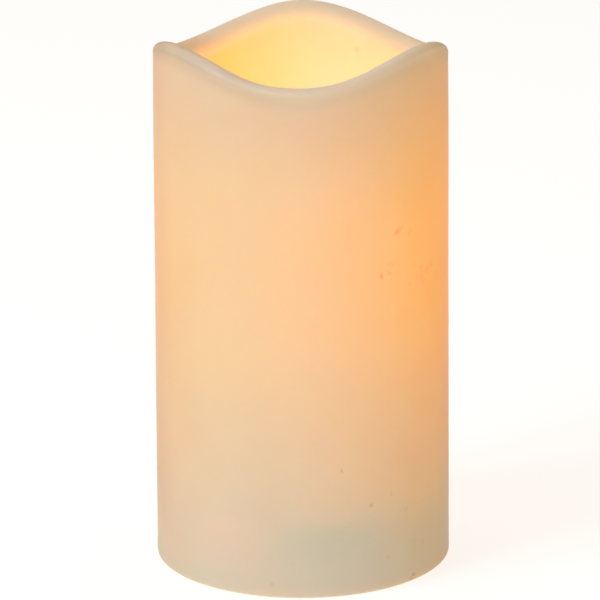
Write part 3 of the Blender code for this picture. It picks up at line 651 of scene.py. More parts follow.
# ---------------------------------------------------------------- floor
def floor():
    s = Shader("floor_pale", (0.52, 0.52, 0.52), 0.9)
    nt = s.nt
    out = nt.nodes["Material Output"]
    s.set("Specular IOR Level", 0.0)
    s.set("Emission Color", (1.0, 0.97, 0.93, 1.0))
    s.set("Emission Strength", 0.72)
    clear = nt.nodes.new("ShaderNodeBsdfTransparent")
    both = nt.nodes.new("ShaderNodeMixShader")
    geo = nt.nodes.new("ShaderNodeNewGeometry")
    nt.links.new(geo.outputs["Backfacing"], both.inputs[0])
    nt.links.new(s.bsdf.outputs[0], both.inputs[1])
    nt.links.new(clear.outputs[0], both.inputs[2])
    nt.links.new(both.outputs[0], out.inputs[0])
    bm = bmesh.new()
    bmesh.ops.create_circle(bm, cap_ends=True, segments=96, radius=9.0)
    for f in bm.faces:
        if f.normal.z < 0:
            f.normal_flip()
    mesh = bpy.data.meshes.new("floor")
    bm.to_mesh(mesh)
    bm.free()
    ob = bpy.data.objects.new("floor", mesh)
    scene.collection.objects.link(ob)
    ob.location = (0, 0, -0.0001)
    mesh.materials.append(s.mat)


floor()

# ---------------------------------------------------------------- dimensions inside the candle, as in the CAD
GAP = 0.0003
COVER_TOP, HOUSING_TOP = 0.0260, 0.0240
STEM_TOP, COLLAR_TOP = 0.0924, 0.0880
STEM_RADIUS, STEM_BORE = 0.0040, 0.0024
CELL_RADIUS, CELL_LENGTH, CELL_Y, CELL_Z = 0.00725, 0.0505, 0.0076, 0.0114
NUB_RADIUS, NUB_LENGTH = 0.00275, 0.0010
CONTACT_X, CONTACT_THICK = 0.0289, 0.0004
BOARD_TOP = 0.0098
SWITCH_Y = 0.0240
COVER_SCREWS = ((-0.0228, 0.0216), (0.0228, 0.0216), (0.0, -0.0314))
BOARD_SCREW_X = 0.0124


# ---------------------------------------------------------------- materials
def moulded(name, colour, shade, rough=0.50, grain=1500.0, depth=0.000018, glow=None, sss=0.08):
    """Injection-moulded plastic: a spark-eroded grain, faint flow clouds and a little dust."""
    s = Shader(name, colour, rough)
    flow = s.noise(70.0, 3.0, 0.55, distortion=0.6)
    speck = s.noise(2600.0, 2.0, 0.5)
    tone = s.mix(s.span(flow, 0.32, 0.68, 0.0, 1.0, "LINEAR"), colour, shade)
    dust = s.math("MULTIPLY", s.span(speck, 0.62, 0.74), s.span(flow, 0.45, 0.70, 0.0, 0.35))
    tone = s.mix(dust, tone, tuple(0.62 * c + 0.10 for c in colour))
    s.feed("Base Color", tone)
    s.feed("Roughness", s.span(s.noise(420.0, 3.0), 0.30, 0.70, rough - 0.07, rough + 0.08, "LINEAR"))
    grain_h = s.math("ADD", s.cells(grain, feature="SMOOTH_F1"), s.math("MULTIPLY", speck, 0.35))
    s.feed("Normal", s.bump(grain_h, 0.35, depth))
    s.set("Specular IOR Level", 0.40)
    s.set("IOR", 1.52)
    if sss:
        s.set("Subsurface Weight", sss)
        s.set("Subsurface Radius", (1.0, 0.8, 0.6))
        s.set("Subsurface Scale", 0.0012)
    if glow:
        s.set("Emission Color", (*glow, 1.0))
        s.set("Emission Strength", 1.0)
    return s


def metal(name, colour, shade, rough=0.28, along=(1.0, 1.0, 1.0), depth=0.000006, tarnish=0.25):
    """Plated or tinned metal: drawing lines along its length, cloudy tarnish, fine scratches."""
    s = Shader(name, colour, rough, 1.0)
    stretched = s.vmath("MULTIPLY", s.coords(), along)
    lines = s.noise(3000.0, 3.0, 0.6, vector=stretched)
    cloud = s.noise(240.0, 4.0, 0.6)
    tone = s.mix(s.span(cloud, 0.35, 0.70), colour, shade)
    tone = s.mix(s.math("MULTIPLY", s.span(cloud, 0.56, 0.72), tarnish), tone, tuple(0.45 * c for c in shade))
    s.feed("Base Color", tone)
    s.feed("Roughness", s.math("ADD", s.span(lines, 0.3, 0.7, rough - 0.08, rough + 0.08, "LINEAR"),
                               s.span(cloud, 0.5, 0.75, 0.0, 0.15)))
    s.feed("Normal", s.bump(lines, 0.4, depth))
    return s


def sleeve_pvc(name, colour, shade):
    """Wire insulation: soft PVC with extrusion lines, a sheen and finger marks."""
    s = Shader(name, colour, 0.42)
    long = s.noise(900.0, 2.0, 0.5)
    mark = s.noise(180.0, 3.0, 0.6)
    s.feed("Base Color", s.mix(s.span(mark, 0.3, 0.7), colour, shade))
    s.feed("Roughness", s.span(long, 0.3, 0.7, 0.34, 0.52, "LINEAR"))
    s.feed("Normal", s.bump(s.math("ADD", long, s.math("MULTIPLY", mark, 0.5)), 0.30, 0.00002))
    s.set("Specular IOR Level", 0.45)
    s.set("Coat Weight", 0.10)
    s.set("Coat Roughness", 0.30)
    return s


MODULE = moulded("module_ivory_moulded", (0.790, 0.725, 0.600), (0.760, 0.692, 0.560))
DOOR_MAT = moulded("door_ivory_moulded", (0.800, 0.735, 0.612), (0.770, 0.702, 0.572), grain=1700.0)
# the cover's emission is painted lamplight from the lamp standing above it
COVER = moulded("cover_white_moulded", (0.850, 0.825, 0.765), (0.815, 0.782, 0.710), 0.55, glow=(0.10, 0.045, 0.008))
TINNED = metal("tinned_copper", (0.80, 0.79, 0.76), (0.70, 0.68, 0.62), 0.24, (1.0, 1.0, 0.15))
ZINC = metal("screw_zinc_blue", (0.68, 0.69, 0.71), (0.56, 0.57, 0.60), 0.27, (1.0, 1.0, 0.4), tarnish=0.4)
NICKEL = metal("contact_nickel_sheet", (0.75, 0.73, 0.68), (0.63, 0.60, 0.53), 0.22, (1.0, 1.0, 0.06))
CAN = metal("crystal_can_drawn", (0.76, 0.76, 0.77), (0.66, 0.66, 0.68), 0.18, (1.0, 0.08, 1.0), tarnish=0.1)
SWITCH_CAN = metal("switch_can_stamped", (0.71, 0.72, 0.73), (0.60, 0.61, 0.62), 0.26, (0.08, 1.0, 1.0))
POM = moulded("slider_black_pom", (0.030, 0.030, 0.033), (0.044, 0.043, 0.045), 0.40, 2600.0, 0.000012, sss=0)
RED = sleeve_pvc("wire_red_pvc", (0.600, 0.030, 0.028), (0.480, 0.020, 0.020))
BLACK = sleeve_pvc("wire_black_pvc", (0.028, 0.028, 0.030), (0.045, 0.043, 0.042))
YELLOW = sleeve_pvc("wire_yellow_pvc", (0.800, 0.570, 0.060), (0.700, 0.470, 0.040))
WHITE = sleeve_pvc("wire_white_pvc", (0.820, 0.815, 0.790), (0.730, 0.720, 0.680))


# ---------------------------------------------------------------- shapes of small pieces
def sweep(bm, points, radius, sides=14):
    """A closed round tube along points, with its two end edges broken; radius is one number or one a point."""
    pts = [Vector(p) for p in points]
    radii = list(radius) if isinstance(radius, (list, tuple)) else [radius] * len(pts)
    first, last = (pts[1] - pts[0]).normalized(), (pts[-1] - pts[-2]).normalized()
    pts = [pts[0], pts[0] + first * (0.3 * radii[0])] + pts[1:-1] + [pts[-1] - last * (0.3 * radii[-1]), pts[-1]]
    radii = [0.72 * radii[0], radii[0]] + radii[1:-1] + [radii[-1], 0.72 * radii[-1]]
    rings, side = [], None
    for i, p in enumerate(pts):
        t = (pts[min(i + 1, len(pts) - 1)] - pts[max(i - 1, 0)]).normalized()
        side = t.orthogonal() if side is None else side
        side = (side - t * side.dot(t)).normalized()
        other = t.cross(side)
        rings.append([
            bm.verts.new(p + (side * cos(2 * pi * k / sides) + other * sin(2 * pi * k / sides)) * radii[i])
            for k in range(sides)
        ])
    for a, b in zip(rings, rings[1:]):
        for k in range(sides):
            m = (k + 1) % sides
            bm.faces.new((a[k], a[m], b[m], b[k]))
    bm.faces.new(list(reversed(rings[0])))
    bm.faces.new(rings[-1])


def strip(bm, path, across, width, thick):
    """A flat strip bent along path; across is the direction of its width."""
    pts, w = [Vector(p) for p in path], Vector(across).normalized()
    rings = []
    for i, p in enumerate(pts):
        t = (pts[min(i + 1, len(pts) - 1)] - pts[max(i - 1, 0)]).normalized()
        n = t.cross(w).normalized()
        rings.append([
            bm.verts.new(p + w * (a * width / 2) + n * (b * thick / 2))
            for a, b in ((-1, -1), (1, -1), (1, 1), (-1, 1))
        ])
    for a, b in zip(rings, rings[1:]):
        for k in range(4):
            m = (k + 1) % 4
            bm.faces.new((a[k], a[m], b[m], b[k]))
    bm.faces.new(list(reversed(rings[0])))
    bm.faces.new(rings[-1])
    bmesh.ops.recalc_face_normals(bm, faces=bm.faces)


def mound(bm, centre, radius, height, axis=(0, 0, 1), steps=16, base=0.0):
    """A low round mound, such as a solder joint or a pressed dimple, closed underneath."""
    turn = Vector(axis).normalized().to_track_quat("Z", "Y").to_matrix()
    rings = []
    for k in range(7):
        t = k / 6
        r = radius * (1 - t) ** 0.6 if k else radius
        h = height * smooth(t) * (1 if k < 6 else 1) - base * (1 if k == 0 else 0)
        if k == 6:
            rings.append([bm.verts.new(Vector(centre) + turn @ Vector((0, 0, height)))])
        else:
            rings.append([
                bm.verts.new(Vector(centre) + turn @ Vector((r * cos(2 * pi * i / steps), r * sin(2 * pi * i / steps), h)))
                for i in range(steps)
            ])
    for a, b in zip(rings, rings[1:]):
        for i in range(steps):
            j = (i + 1) % steps
            face = []
            for v in (a[i], a[j], b[j % len(b)], b[i % len(b)]):
                if v not in face:
                    face.append(v)
            bm.faces.new(face)
    bm.faces.new(list(reversed(rings[0])))


def spline_profile(points, per_span):
    """A smooth profile through the given (radius, z) points."""
    pts = [Vector((p[0], p[1], 0.0)) for p in points]
    return [(max(q.x, 0.0), q.y) for q in smooth_route(pts, per_span)]


def smooth_route(points, per_span):
    """Points along a smooth curve that passes through every given point."""
    pts = [Vector(p) for p in points]
    pts = [2 * pts[0] - pts[1]] + pts + [2 * pts[-1] - pts[-2]]
    out = []
    for i in range(1, len(pts) - 2):
        a, b, c, d = pts[i - 1: i + 3]
        for k in range(per_span):
            t = k / per_span
            out.append(
                0.5 * (2 * b + (c - a) * t + (2 * a - 5 * b + 4 * c - d) * t * t
                       + (3 * b - a - 3 * c + d) * t ** 3)
            )
    out.append(pts[-2])
    return out


def mesh_of(name, bm):
    mesh = bpy.data.meshes.new(name)
    bm.to_mesh(mesh)
    bm.free()
    return mesh


def moved(mesh, name, x, y, z=0.0):
    copy = mesh.copy()
    copy.name = name
    copy.transform(Matrix.Translation((x, y, z)))
    return copy


def pan_screw(name, head_radius, head_height, core, thread, length, pitch):
    """A pan-headed screw with its under-head face at z = 0: domed head, cross recess, rolled thread, point."""
    steps = 32
    rings = [[(0.0, head_height)] * 1]
    for k in range(1, 8):
        a = pi / 2 * k / 7
        rings.append([(head_radius * sin(a) ** 0.8, head_height * (0.42 + 0.58 * cos(a)))] * steps)
    rings.append([(head_radius, head_height * 0.12)] * steps)
    rings.append([(head_radius * 0.985, head_height * 0.03)] * steps)
    rings.append([(head_radius * 0.95, 0.0)] * steps)
    rings.append([(core * 1.12, 0.0)] * steps)
    rings.append([(core, -0.0003)] * steps)
    z, dz = -0.0004, pitch / 7
    while z > -length + 0.0002:
        ring = []
        left = (z + length) / (2.2 * core)
        point = min(1.0, left) ** 0.7
        for i in range(steps):
            phase = (z / pitch + i / steps) % 1.0
            ridge = max(0.0, 1.0 - abs(phase - 0.5) / 0.24)
            ring.append(((core + (thread - core) * ridge) * point, z))
        rings.append(ring)
        z -= dz
    rings.append([(0.0, -length)])
    bm = bmesh.new()
    loops = []
    for ring in rings:
        if len(ring) == 1:
            loops.append([bm.verts.new((0, 0, ring[0][1]))])
        else:
            loops.append([
                bm.verts.new((r * cos(2 * pi * i / steps), r * sin(2 * pi * i / steps), h))
                for i, (r, h) in enumerate(ring)
            ])
    for a, b in zip(loops, loops[1:]):
        for i in range(steps):
            j = (i + 1) % steps
            face = []
            for v in (a[i % len(a)], b[i % len(b)], b[j % len(b)], a[j % len(a)]):
                if v not in face:
                    face.append(v)
            bm.faces.new(face)
    ob = temp(name, bm)
    # the cross recess narrows as it goes down
    for turn in (0, 1):
        cross = bmesh.new()
        box_mesh(
            cross, (-head_radius * 0.60, -head_radius * 0.11, head_height * 0.32),
            (head_radius * 0.60, head_radius * 0.11, head_height * 1.5), Matrix.Rotation(pi / 2 * turn, 4, "Z"),
        )
        for v in cross.verts:
            if v.co.z < head_height * 0.5:
                v.co.x *= 0.50
                v.co.y *= 0.50
        ob = boolean(ob, temp(name + "_cross", cross))
    return finished(ob, name)


def engraved(mesh, name, cutters):
    """The mesh with each cutter's shape pressed into it."""
    ob = temp_mesh(name, mesh)
    for cutter in cutters:
        ob = boolean(ob, cutter)
    return finished(ob, name)


def bar_cutter(x0, y0, x1, y1, width, z0, z1):
    a, b = Vector((x0, y0, 0)), Vector((x1, y1, 0))
    along = b - a
    bm = bmesh.new()
    box_mesh(
        bm, (-along.length / 2, -width / 2, z0), (along.length / 2, width / 2, z1),
        Matrix.Translation((a + b) / 2) @ Matrix.Rotation(atan2(along.y, along.x), 4, "Z"),
    )
    return temp("bar", bm)


def ring_cutter(x, y, inner, outer, z0, z1, steps=28):
    mesh = lathe_mesh("ring", [(outer, z1), (outer, z0), (inner, z0), (inner, z1)], steps, True, (x, y))
    return temp_mesh("ring", mesh)


# ---------------------------------------------------------------- battery module
UNDER = 0.0015                       # height of the module's lower face


def build_housing():
    mesh = softened("base_housing", 0.00016, 2)
    cuts = [ring_cutter(0, 0, 0.0338, 0.0342, UNDER - 0.001, UNDER + 0.00025, 96)]
    # generic marks for the switch: a dial with two hands (timer), a bar (on), a ring (off)
    y, lo, hi = 0.0304, UNDER - 0.001, UNDER + 0.00030
    cuts.append(bar_cutter(0.0, y - 0.0012, 0.0, y + 0.0012, 0.00045, lo, hi))
    cuts.append(ring_cutter(0.0048, y, 0.00080, 0.00122, lo, hi))
    cuts.append(ring_cutter(-0.0048, y, 0.00105, 0.00140, lo, hi))
    cuts.append(bar_cutter(-0.0048, y - 0.0001, -0.0048, y + 0.0007, 0.00028, lo, hi))
    cuts.append(bar_cutter(-0.0049, y, -0.0043, y, 0.00028, lo, hi))
    return engraved(mesh, "module_housing", cuts)


link("module_housing", build_housing(), MODULE, ("base_housing",), sharp=50, even=True)
link("module_lid", softened("module_cover", 0.00022, 2), COVER, ("module_cover",), sharp=50, even=True)


def build_door():
    mesh = softened("battery_door", 0.00014, 2)
    lo, hi = UNDER - 0.001, UNDER + 0.00030
    # an arrow that says which way the latch is pressed
    cuts = [
        bar_cutter(0.0030, 0.0, 0.0080, 0.0, 0.0006, lo, hi),
        bar_cutter(0.0082, 0.0, 0.0064, 0.0017, 0.0006, lo, hi),
        bar_cutter(0.0082, 0.0, 0.0064, -0.0017, 0.0006, lo, hi),
    ]
    # and which way round the two cells go
    for x, y, plus in ((-0.0215, -CELL_Y, True), (-0.0215, CELL_Y, False), (0.0060, CELL_Y, True), (0.0060, -CELL_Y, False)):
        cuts.append(bar_cutter(x - 0.0015, y, x + 0.0015, y, 0.0006, lo, hi))
        if plus:
            cuts.append(bar_cutter(x, y - 0.0015, x, y + 0.0015, 0.0006, lo, hi))
    return engraved(mesh, "battery_lid", cuts)


link("battery_lid", build_door(), DOOR_MAT, ("battery_door",), body="door", sharp=50, even=True)
link("switch_shell", softened("switch_case", 0.00008, 2), SWITCH_CAN, ("switch_case",), sharp=50, even=True)


def build_slider():
    mesh = softened("switch_slider", 0.00008, 2)
    cuts = []
    for i in (-1, 0, 1):
        bm = bmesh.new()
        box_mesh(bm, (i * 0.0008 - 0.00014, SWITCH_Y - 0.0020, 0.0), (i * 0.0008 + 0.00014, SWITCH_Y + 0.0020, 0.00092))
        cuts.append(temp("rib", bm))
    return engraved(mesh, "switch_knob", cuts)


link("switch_knob", build_slider(), POM, ("switch_slider",), body="slider", sharp=50, even=True)

screw_mesh = pan_screw("cover_screw_mesh", 0.0024, 0.0016, 0.00082, 0.00118, 0.0125, 0.00095)
for i, (x, y) in enumerate(COVER_SCREWS):
    turned_mesh = screw_mesh.copy()
    turned_mesh.transform(Matrix.Rotation(0.5 + 1.3 * i, 4, "Z"))
    link("lid_screw_%d" % (i + 1), moved(turned_mesh, "lid_screw", x, y, COVER_TOP + GAP), ZINC,
         ("cover_screw_%d" % (i + 1),), sharp=35)
small_screw = pan_screw("board_screw_mesh", 0.0019, 0.0012, 0.00064, 0.00092, 0.0046, 0.0007)
for name, x, turn in (("board_screw_left", -BOARD_SCREW_X, 0.3), ("board_screw_right", BOARD_SCREW_X, 1.1)):
    turned_mesh = small_screw.copy()
    turned_mesh.transform(Matrix.Rotation(turn, 4, "Z"))
    link(name + "_fine", moved(turned_mesh, name, x, SWITCH_Y, BOARD_TOP + GAP), ZINC, (name,), sharp=35)


# ---------------------------------------------------------------- cells and contacts
def cell_shader(side):
    """Steel ends, a shrink sleeve in charcoal with a satin band, generic polarity marks."""
    s = Shader("cell_sleeve_%s" % ("rear" if side > 0 else "front"), (0.10, 0.11, 0.12), 0.30)
    x, y, z = s.xyz()
    tip = CONTACT_X - GAP
    t = s.math("ADD", s.math("MULTIPLY", x, -float(side)), tip)              # metres from the nub's tip
    dy = s.math("SUBTRACT", y, side * CELL_Y)
    dz = s.math("SUBTRACT", z, CELL_Z)
    r = s.math("SQRT", s.math("ADD", s.math("MULTIPLY", dy, dy), s.math("MULTIPLY", dz, dz)))
    arc = s.math("MULTIPLY", s.math("ARCTAN2", dy, s.math("MULTIPLY", dz, -1.0)), CELL_RADIUS)
    scuff = s.noise(500.0, 4.0, 0.6)
    fine = s.noise(2400.0, 2.0, 0.5)
    charcoal = s.mix(s.span(scuff, 0.35, 0.70), (0.066, 0.072, 0.082), (0.079, 0.085, 0.095))
    silver = s.mix(s.span(scuff, 0.35, 0.70), (0.56, 0.57, 0.59), (0.51, 0.52, 0.54))
    band = s.math("MULTIPLY", s.span(t, 0.0039, 0.0041), s.span(t, 0.0129, 0.0131, 1.0, 0.0))
    tone = s.mix(band, charcoal, silver)
    line = s.math("MULTIPLY", s.span(t, 0.0139, 0.0140), s.span(t, 0.0145, 0.0146, 1.0, 0.0))
    tone = s.mix(line, tone, (0.10, 0.42, 0.40))

    def bar(at_t, half_t, at_a, half_a):
        a = s.span(s.math("ABSOLUTE", s.math("SUBTRACT", t, at_t)), half_t, half_t + 0.00012, 1.0, 0.0)
        b = s.span(s.math("ABSOLUTE", s.math("SUBTRACT", arc, at_a)), half_a, half_a + 0.00012, 1.0, 0.0)
        return s.math("MULTIPLY", a, b)

    for at_a in (0.0, 0.0110, -0.0110):
        plus = s.math("MAXIMUM", bar(0.0085, 0.0017, at_a, 0.0004), bar(0.0085, 0.0004, at_a, 0.0017))
        tone = s.mix(plus, tone, (0.050, 0.055, 0.065))
        tone = s.mix(bar(0.0455, 0.0004, at_a, 0.0016), tone, (0.60, 0.61, 0.62))
    # steel: the nub, the dished collar around it and the flat end
    steel = s.math("MAXIMUM",
                   s.math("MULTIPLY", s.span(t, 0.0016, 0.0017, 1.0, 0.0), s.span(r, 0.0050, 0.0051, 1.0, 0.0)),
                   s.math("MULTIPLY", s.span(t, CELL_LENGTH - 0.0005, CELL_LENGTH - 0.0004), s.span(r, 0.0056, 0.0057, 1.0, 0.0)))
    tone = s.mix(steel, tone, s.mix(s.span(scuff, 0.4, 0.7), (0.74, 0.73, 0.70), (0.62, 0.60, 0.56)))
    s.feed("Base Color", tone)
    s.feed("Metallic", steel)
    s.feed("Roughness", s.mix(steel, s.span(scuff, 0.3, 0.7, 0.24, 0.38), s.span(fine, 0.3, 0.7, 0.20, 0.36)))
    s.feed("Normal", s.bump(s.math("ADD", scuff, s.math("MULTIPLY", fine, 0.4)), 0.12, 0.00002))
    s.set("Coat Weight", 0.25)
    s.set("Coat Roughness", 0.12)
    return s


def cell_mesh(name, side):
    nub, body = NUB_LENGTH, CELL_LENGTH - NUB_LENGTH
    profile = [
        (0.0, 0.0), (NUB_RADIUS - 0.00045, 0.0), (NUB_RADIUS - 0.00015, -0.00010), (NUB_RADIUS, -0.00040),
        (NUB_RADIUS + 0.00005, -nub + 0.00015), (NUB_RADIUS + 0.00025, -nub - 0.00005), (0.0046, -nub - 0.00015),
        (0.0050, -nub - 0.00045), (0.0053, -nub - 0.00045), (0.0055, -nub - 0.00012), (0.0060, -nub - 0.00008),
        (CELL_RADIUS - 0.00075, -nub - 0.00018), (CELL_RADIUS - 0.00030, -nub - 0.00045),
        (CELL_RADIUS - 0.00005, -nub - 0.00100), (CELL_RADIUS, -nub - 0.00140),
        (CELL_RADIUS, -nub - 0.0090), (CELL_RADIUS, -nub - 0.0250), (CELL_RADIUS, -nub - 0.0400),
        (CELL_RADIUS, -nub - body + 0.00140), (CELL_RADIUS - 0.00005, -nub - body + 0.00090),
        (CELL_RADIUS - 0.00030, -nub - body + 0.00040), (CELL_RADIUS - 0.00080, -nub - body + 0.00012),
        (0.0060, -nub - body + 0.00010), (0.0058, -nub - body + 0.00016), (0.0056, -nub - body + 0.00030),
        (0.0054, -nub - body + 0.00010), (0.0050, -nub - body), (0.0, -nub - body),
    ]
    mesh = lathe_mesh(name, profile, 64)
    mesh.transform(
        Matrix.Translation((side * (CONTACT_X - GAP), side * CELL_Y, CELL_Z)) @ Matrix.Rotation(side * pi / 2, 4, "Y")
    )
    return mesh


link("cell_front", cell_mesh("cell_front", -1), cell_shader(-1), ("battery_front",), sharp=38)
link("cell_rear", cell_mesh("cell_rear", 1), cell_shader(1), ("battery_rear",), sharp=38)


def plate_mesh(name, x_side, y, half, tab, dimples, clips):
    x0, x1 = sorted((x_side * CONTACT_X, x_side * (CONTACT_X + CONTACT_THICK)))
    bm = bmesh.new()
    box_mesh(bm, (x0, y - half, CELL_Z - 0.0055), (x1, y + half, CELL_Z + 0.0055))
    corners = [e for e in bm.edges if abs(e.verts[0].co.x - e.verts[1].co.x) > 1e-5]
    bmesh.ops.bevel(bm, geom=corners, offset=0.0010, segments=5, profile=0.5, affect="EDGES")
    edges = [e for e in bm.edges if len(e.link_faces) == 2 and e.calc_face_angle(0) > 0.8]
    bmesh.ops.bevel(bm, geom=edges, offset=0.00008, segments=2, profile=0.5, affect="EDGES")
    if tab:
        made = box_mesh(bm, (x0, y - 0.0012, CELL_Z + 0.0050), (x1, y + 0.0012, 0.0222))
        edges = list({e for v in made for e in v.link_edges})
        bmesh.ops.bevel(bm, geom=edges, offset=0.00012, segments=2, profile=0.5, affect="EDGES")
    inward = (-x_side, 0, 0)
    face = x_side * CONTACT_X
    for at in dimples:
        mound(bm, (face, at, CELL_Z), 0.0022, 0.00022, inward, 28, 0.0001)
    for at in clips:
        # three tongues pressed out of the sheet hold the coil's first turn
        for k in range(3):
            a = 2 * pi * k / 3 + 0.6
            c = Vector((face, at + 0.0041 * cos(a), CELL_Z + 0.0041 * sin(a)))
            out = Vector((0, cos(a), sin(a)))
            across = Vector((1, 0, 0)).cross(out)
            strip(bm, (c + out * 0.0009, c + out * 0.0009 + Vector(inward) * 0.0007, c + out * 0.0002 + Vector(inward) * 0.0009),
                  across, 0.0012, 0.00022)
    return mesh_of(name, bm)


link("plate_positive", plate_mesh("plate_positive", -1, -CELL_Y, 0.0055, True, (-CELL_Y,), ()), NICKEL,
     ("contact_positive",), sharp=35)
link("plate_negative", plate_mesh("plate_negative", -1, CELL_Y, 0.0055, True, (), (CELL_Y,)), NICKEL,
     ("contact_negative",), sharp=35)
link("plate_bridge", plate_mesh("plate_bridge", 1, 0.0, 0.0132, False, (CELL_Y,), (-CELL_Y,)), NICKEL,
     ("contact_bridge",), sharp=35)


def coil_mesh(name, x_side, y):
    turns, wire_radius = 4.0, 0.00032
    start = CONTACT_X - GAP - wire_radius
    end = CELL_LENGTH - CONTACT_X + GAP + GAP + wire_radius
    points, count = [], int(turns * 32)
    for i in range(count + 1):
        t = i / count
        # dead turns at both ends lie flat
        lay = min(max((t - 0.10) / 0.80, 0.0), 1.0)
        r = 0.0040 - 0.0014 * t
        a = 2 * pi * turns * t
        points.append((x_side * (start + (end - start) * lay), y + r * cos(a), CELL_Z + r * sin(a)))
    bm = bmesh.new()
    sweep(bm, points, wire_radius, 12)
    return mesh_of(name, bm)


link("coil_negative", coil_mesh("coil_negative", -1, CELL_Y), NICKEL, ("spring_negative",), sharp=50)
link("coil_bridge", coil_mesh("coil_bridge", 1, -CELL_Y), NICKEL, ("spring_bridge",), sharp=50)


# ---------------------------------------------------------------- circuit board and what stands on it
BOARD_LOW = (-0.0150, 0.0180, 0.0086)
BOARD_HIGH = (0.0150, 0.0298, BOARD_TOP)
PADS = (                              # x, y, pad radius, joint height
    (-0.0065, 0.0196, 0.00085, 0.00055), (-0.0100, 0.0196, 0.00085, 0.00055),
    (0.0068, 0.0196, 0.00085, 0.00055), (0.0100, 0.0196, 0.00085, 0.00055),
    (-0.0058, 0.0219, 0.00070, 0.00035), (0.0038, 0.0219, 0.00070, 0.00035),
    (0.0066, 0.0225, 0.00055, 0.00028), (0.0078, 0.0225, 0.00055, 0.00028),
    (0.0016, 0.0266, 0.00050, 0.00024), (0.0036, 0.0266, 0.00050, 0.00024),
)
TRACES = (                            # runs of copper under the mask, as corner points
    ((-0.0065, 0.0196), (-0.0065, 0.0206), (-0.0058, 0.0213), (-0.0058, 0.0219)),
    ((-0.0100, 0.0196), (-0.0100, 0.0216), (-0.0092, 0.0224), (-0.0092, 0.0270), (-0.0075, 0.0286), (-0.0051, 0.0286)),
    ((0.0038, 0.0219), (0.0047, 0.0228), (0.0047, 0.0252), (0.0036, 0.0266)),
    ((0.0068, 0.0196), (0.0052, 0.0196), (0.0030, 0.0206), (-0.0020, 0.0206), (-0.0038, 0.0224), (-0.0038, 0.0240)),
    ((0.0100, 0.0196), (0.0110, 0.0206), (0.0110, 0.0262), (0.0092, 0.0280), (0.0056, 0.0290), (-0.0010, 0.0290)),
    ((0.0066, 0.0225), (0.0058, 0.0233), (0.0052, 0.0246), (0.0006, 0.0246), (-0.0008, 0.0238)),
    ((0.0078, 0.0225), (0.0084, 0.0217), (0.0096, 0.0217)),
    ((0.0016, 0.0266), (0.0004, 0.0278), (-0.0012, 0.0288)),
)


def board_shader():
    """Glass-epoxy board: green mask with woven glass under it, bare resin at the cut edges."""
    s = Shader("board_green_mask", (0.030, 0.200, 0.090), 0.34)
    x, y, z = s.xyz()
    cloud = s.noise(220.0, 3.0, 0.5)
    weave_x = s.math("SINE", s.math("MULTIPLY", x, 2 * pi / 0.00055))
    weave_y = s.math("SINE", s.math("MULTIPLY", y, 2 * pi / 0.00050))
    weave = s.math("MULTIPLY", s.math("ADD", weave_x, weave_y), 0.25)
    mask = s.mix(s.span(cloud, 0.3, 0.7), (0.022, 0.175, 0.078), (0.036, 0.225, 0.100))
    mask = s.mix(s.math("MULTIPLY", s.span(weave, 0.1, 0.5), 0.25), mask, (0.060, 0.290, 0.140))
    geo = s.node("ShaderNodeNewGeometry")
    nx, ny, nz = s.xyz(geo.outputs["True Normal"])
    side = s.span(s.math("ABSOLUTE", nz), 0.35, 0.55, 1.0, 0.0)
    resin = s.mix(s.span(s.noise(1400.0, 3.0), 0.35, 0.65), (0.46, 0.42, 0.22), (0.34, 0.31, 0.15))
    s.feed("Base Color", s.mix(side, mask, resin))
    s.feed("Roughness", s.math("ADD", s.span(cloud, 0.3, 0.7, 0.28, 0.40), s.math("MULTIPLY", side, 0.35)))
    s.feed("Normal", s.bump(weave, 0.15, 0.00001))
    s.set("Coat Weight", 0.30)
    s.set("Coat Roughness", 0.15)
    return s


BOARD_MAT = board_shader()
link("board_plate", softened("circuit_board", 0.00012, 2), BOARD_MAT, ("circuit_board",), sharp=50, even=True)

bm = bmesh.new()
for run in TRACES:
    strip(bm, [(x, y, BOARD_TOP + 0.00002) for x, y in run], (0, 0, 1), 0.00006, 0.00034)
link("board_traces", mesh_of("board_traces", bm), BOARD_MAT, sharp=50, even=True)

SOLDER = metal("solder_joint", (0.78, 0.78, 0.77), (0.66, 0.66, 0.65), 0.20, depth=0.00001, tarnish=0.15)
bm = bmesh.new()
for x, y, r, h in PADS:
    mound(bm, (x, y, BOARD_TOP - 0.00002), r, h, steps=20)
for side in (-1, 1):
    for k in range(4):
        x = -0.0032 + (k - 1.5) * 0.00127
        box_mesh(bm, (x - 0.00028, 0.0264 + side * 0.0026 - 0.00048, BOARD_TOP - 0.00002),
                 (x + 0.00028, 0.0264 + side * 0.0026 + 0.00048, BOARD_TOP + 0.00032))
for y in (-CELL_Y, CELL_Y):
    mound(bm, (-CONTACT_X + 0.0001, y, 0.0216), 0.00105, 0.00085, (1, 0, 0), 20, 0.0001)
link("solder_joints", mesh_of("solder_joints", bm), SOLDER, sharp=40)


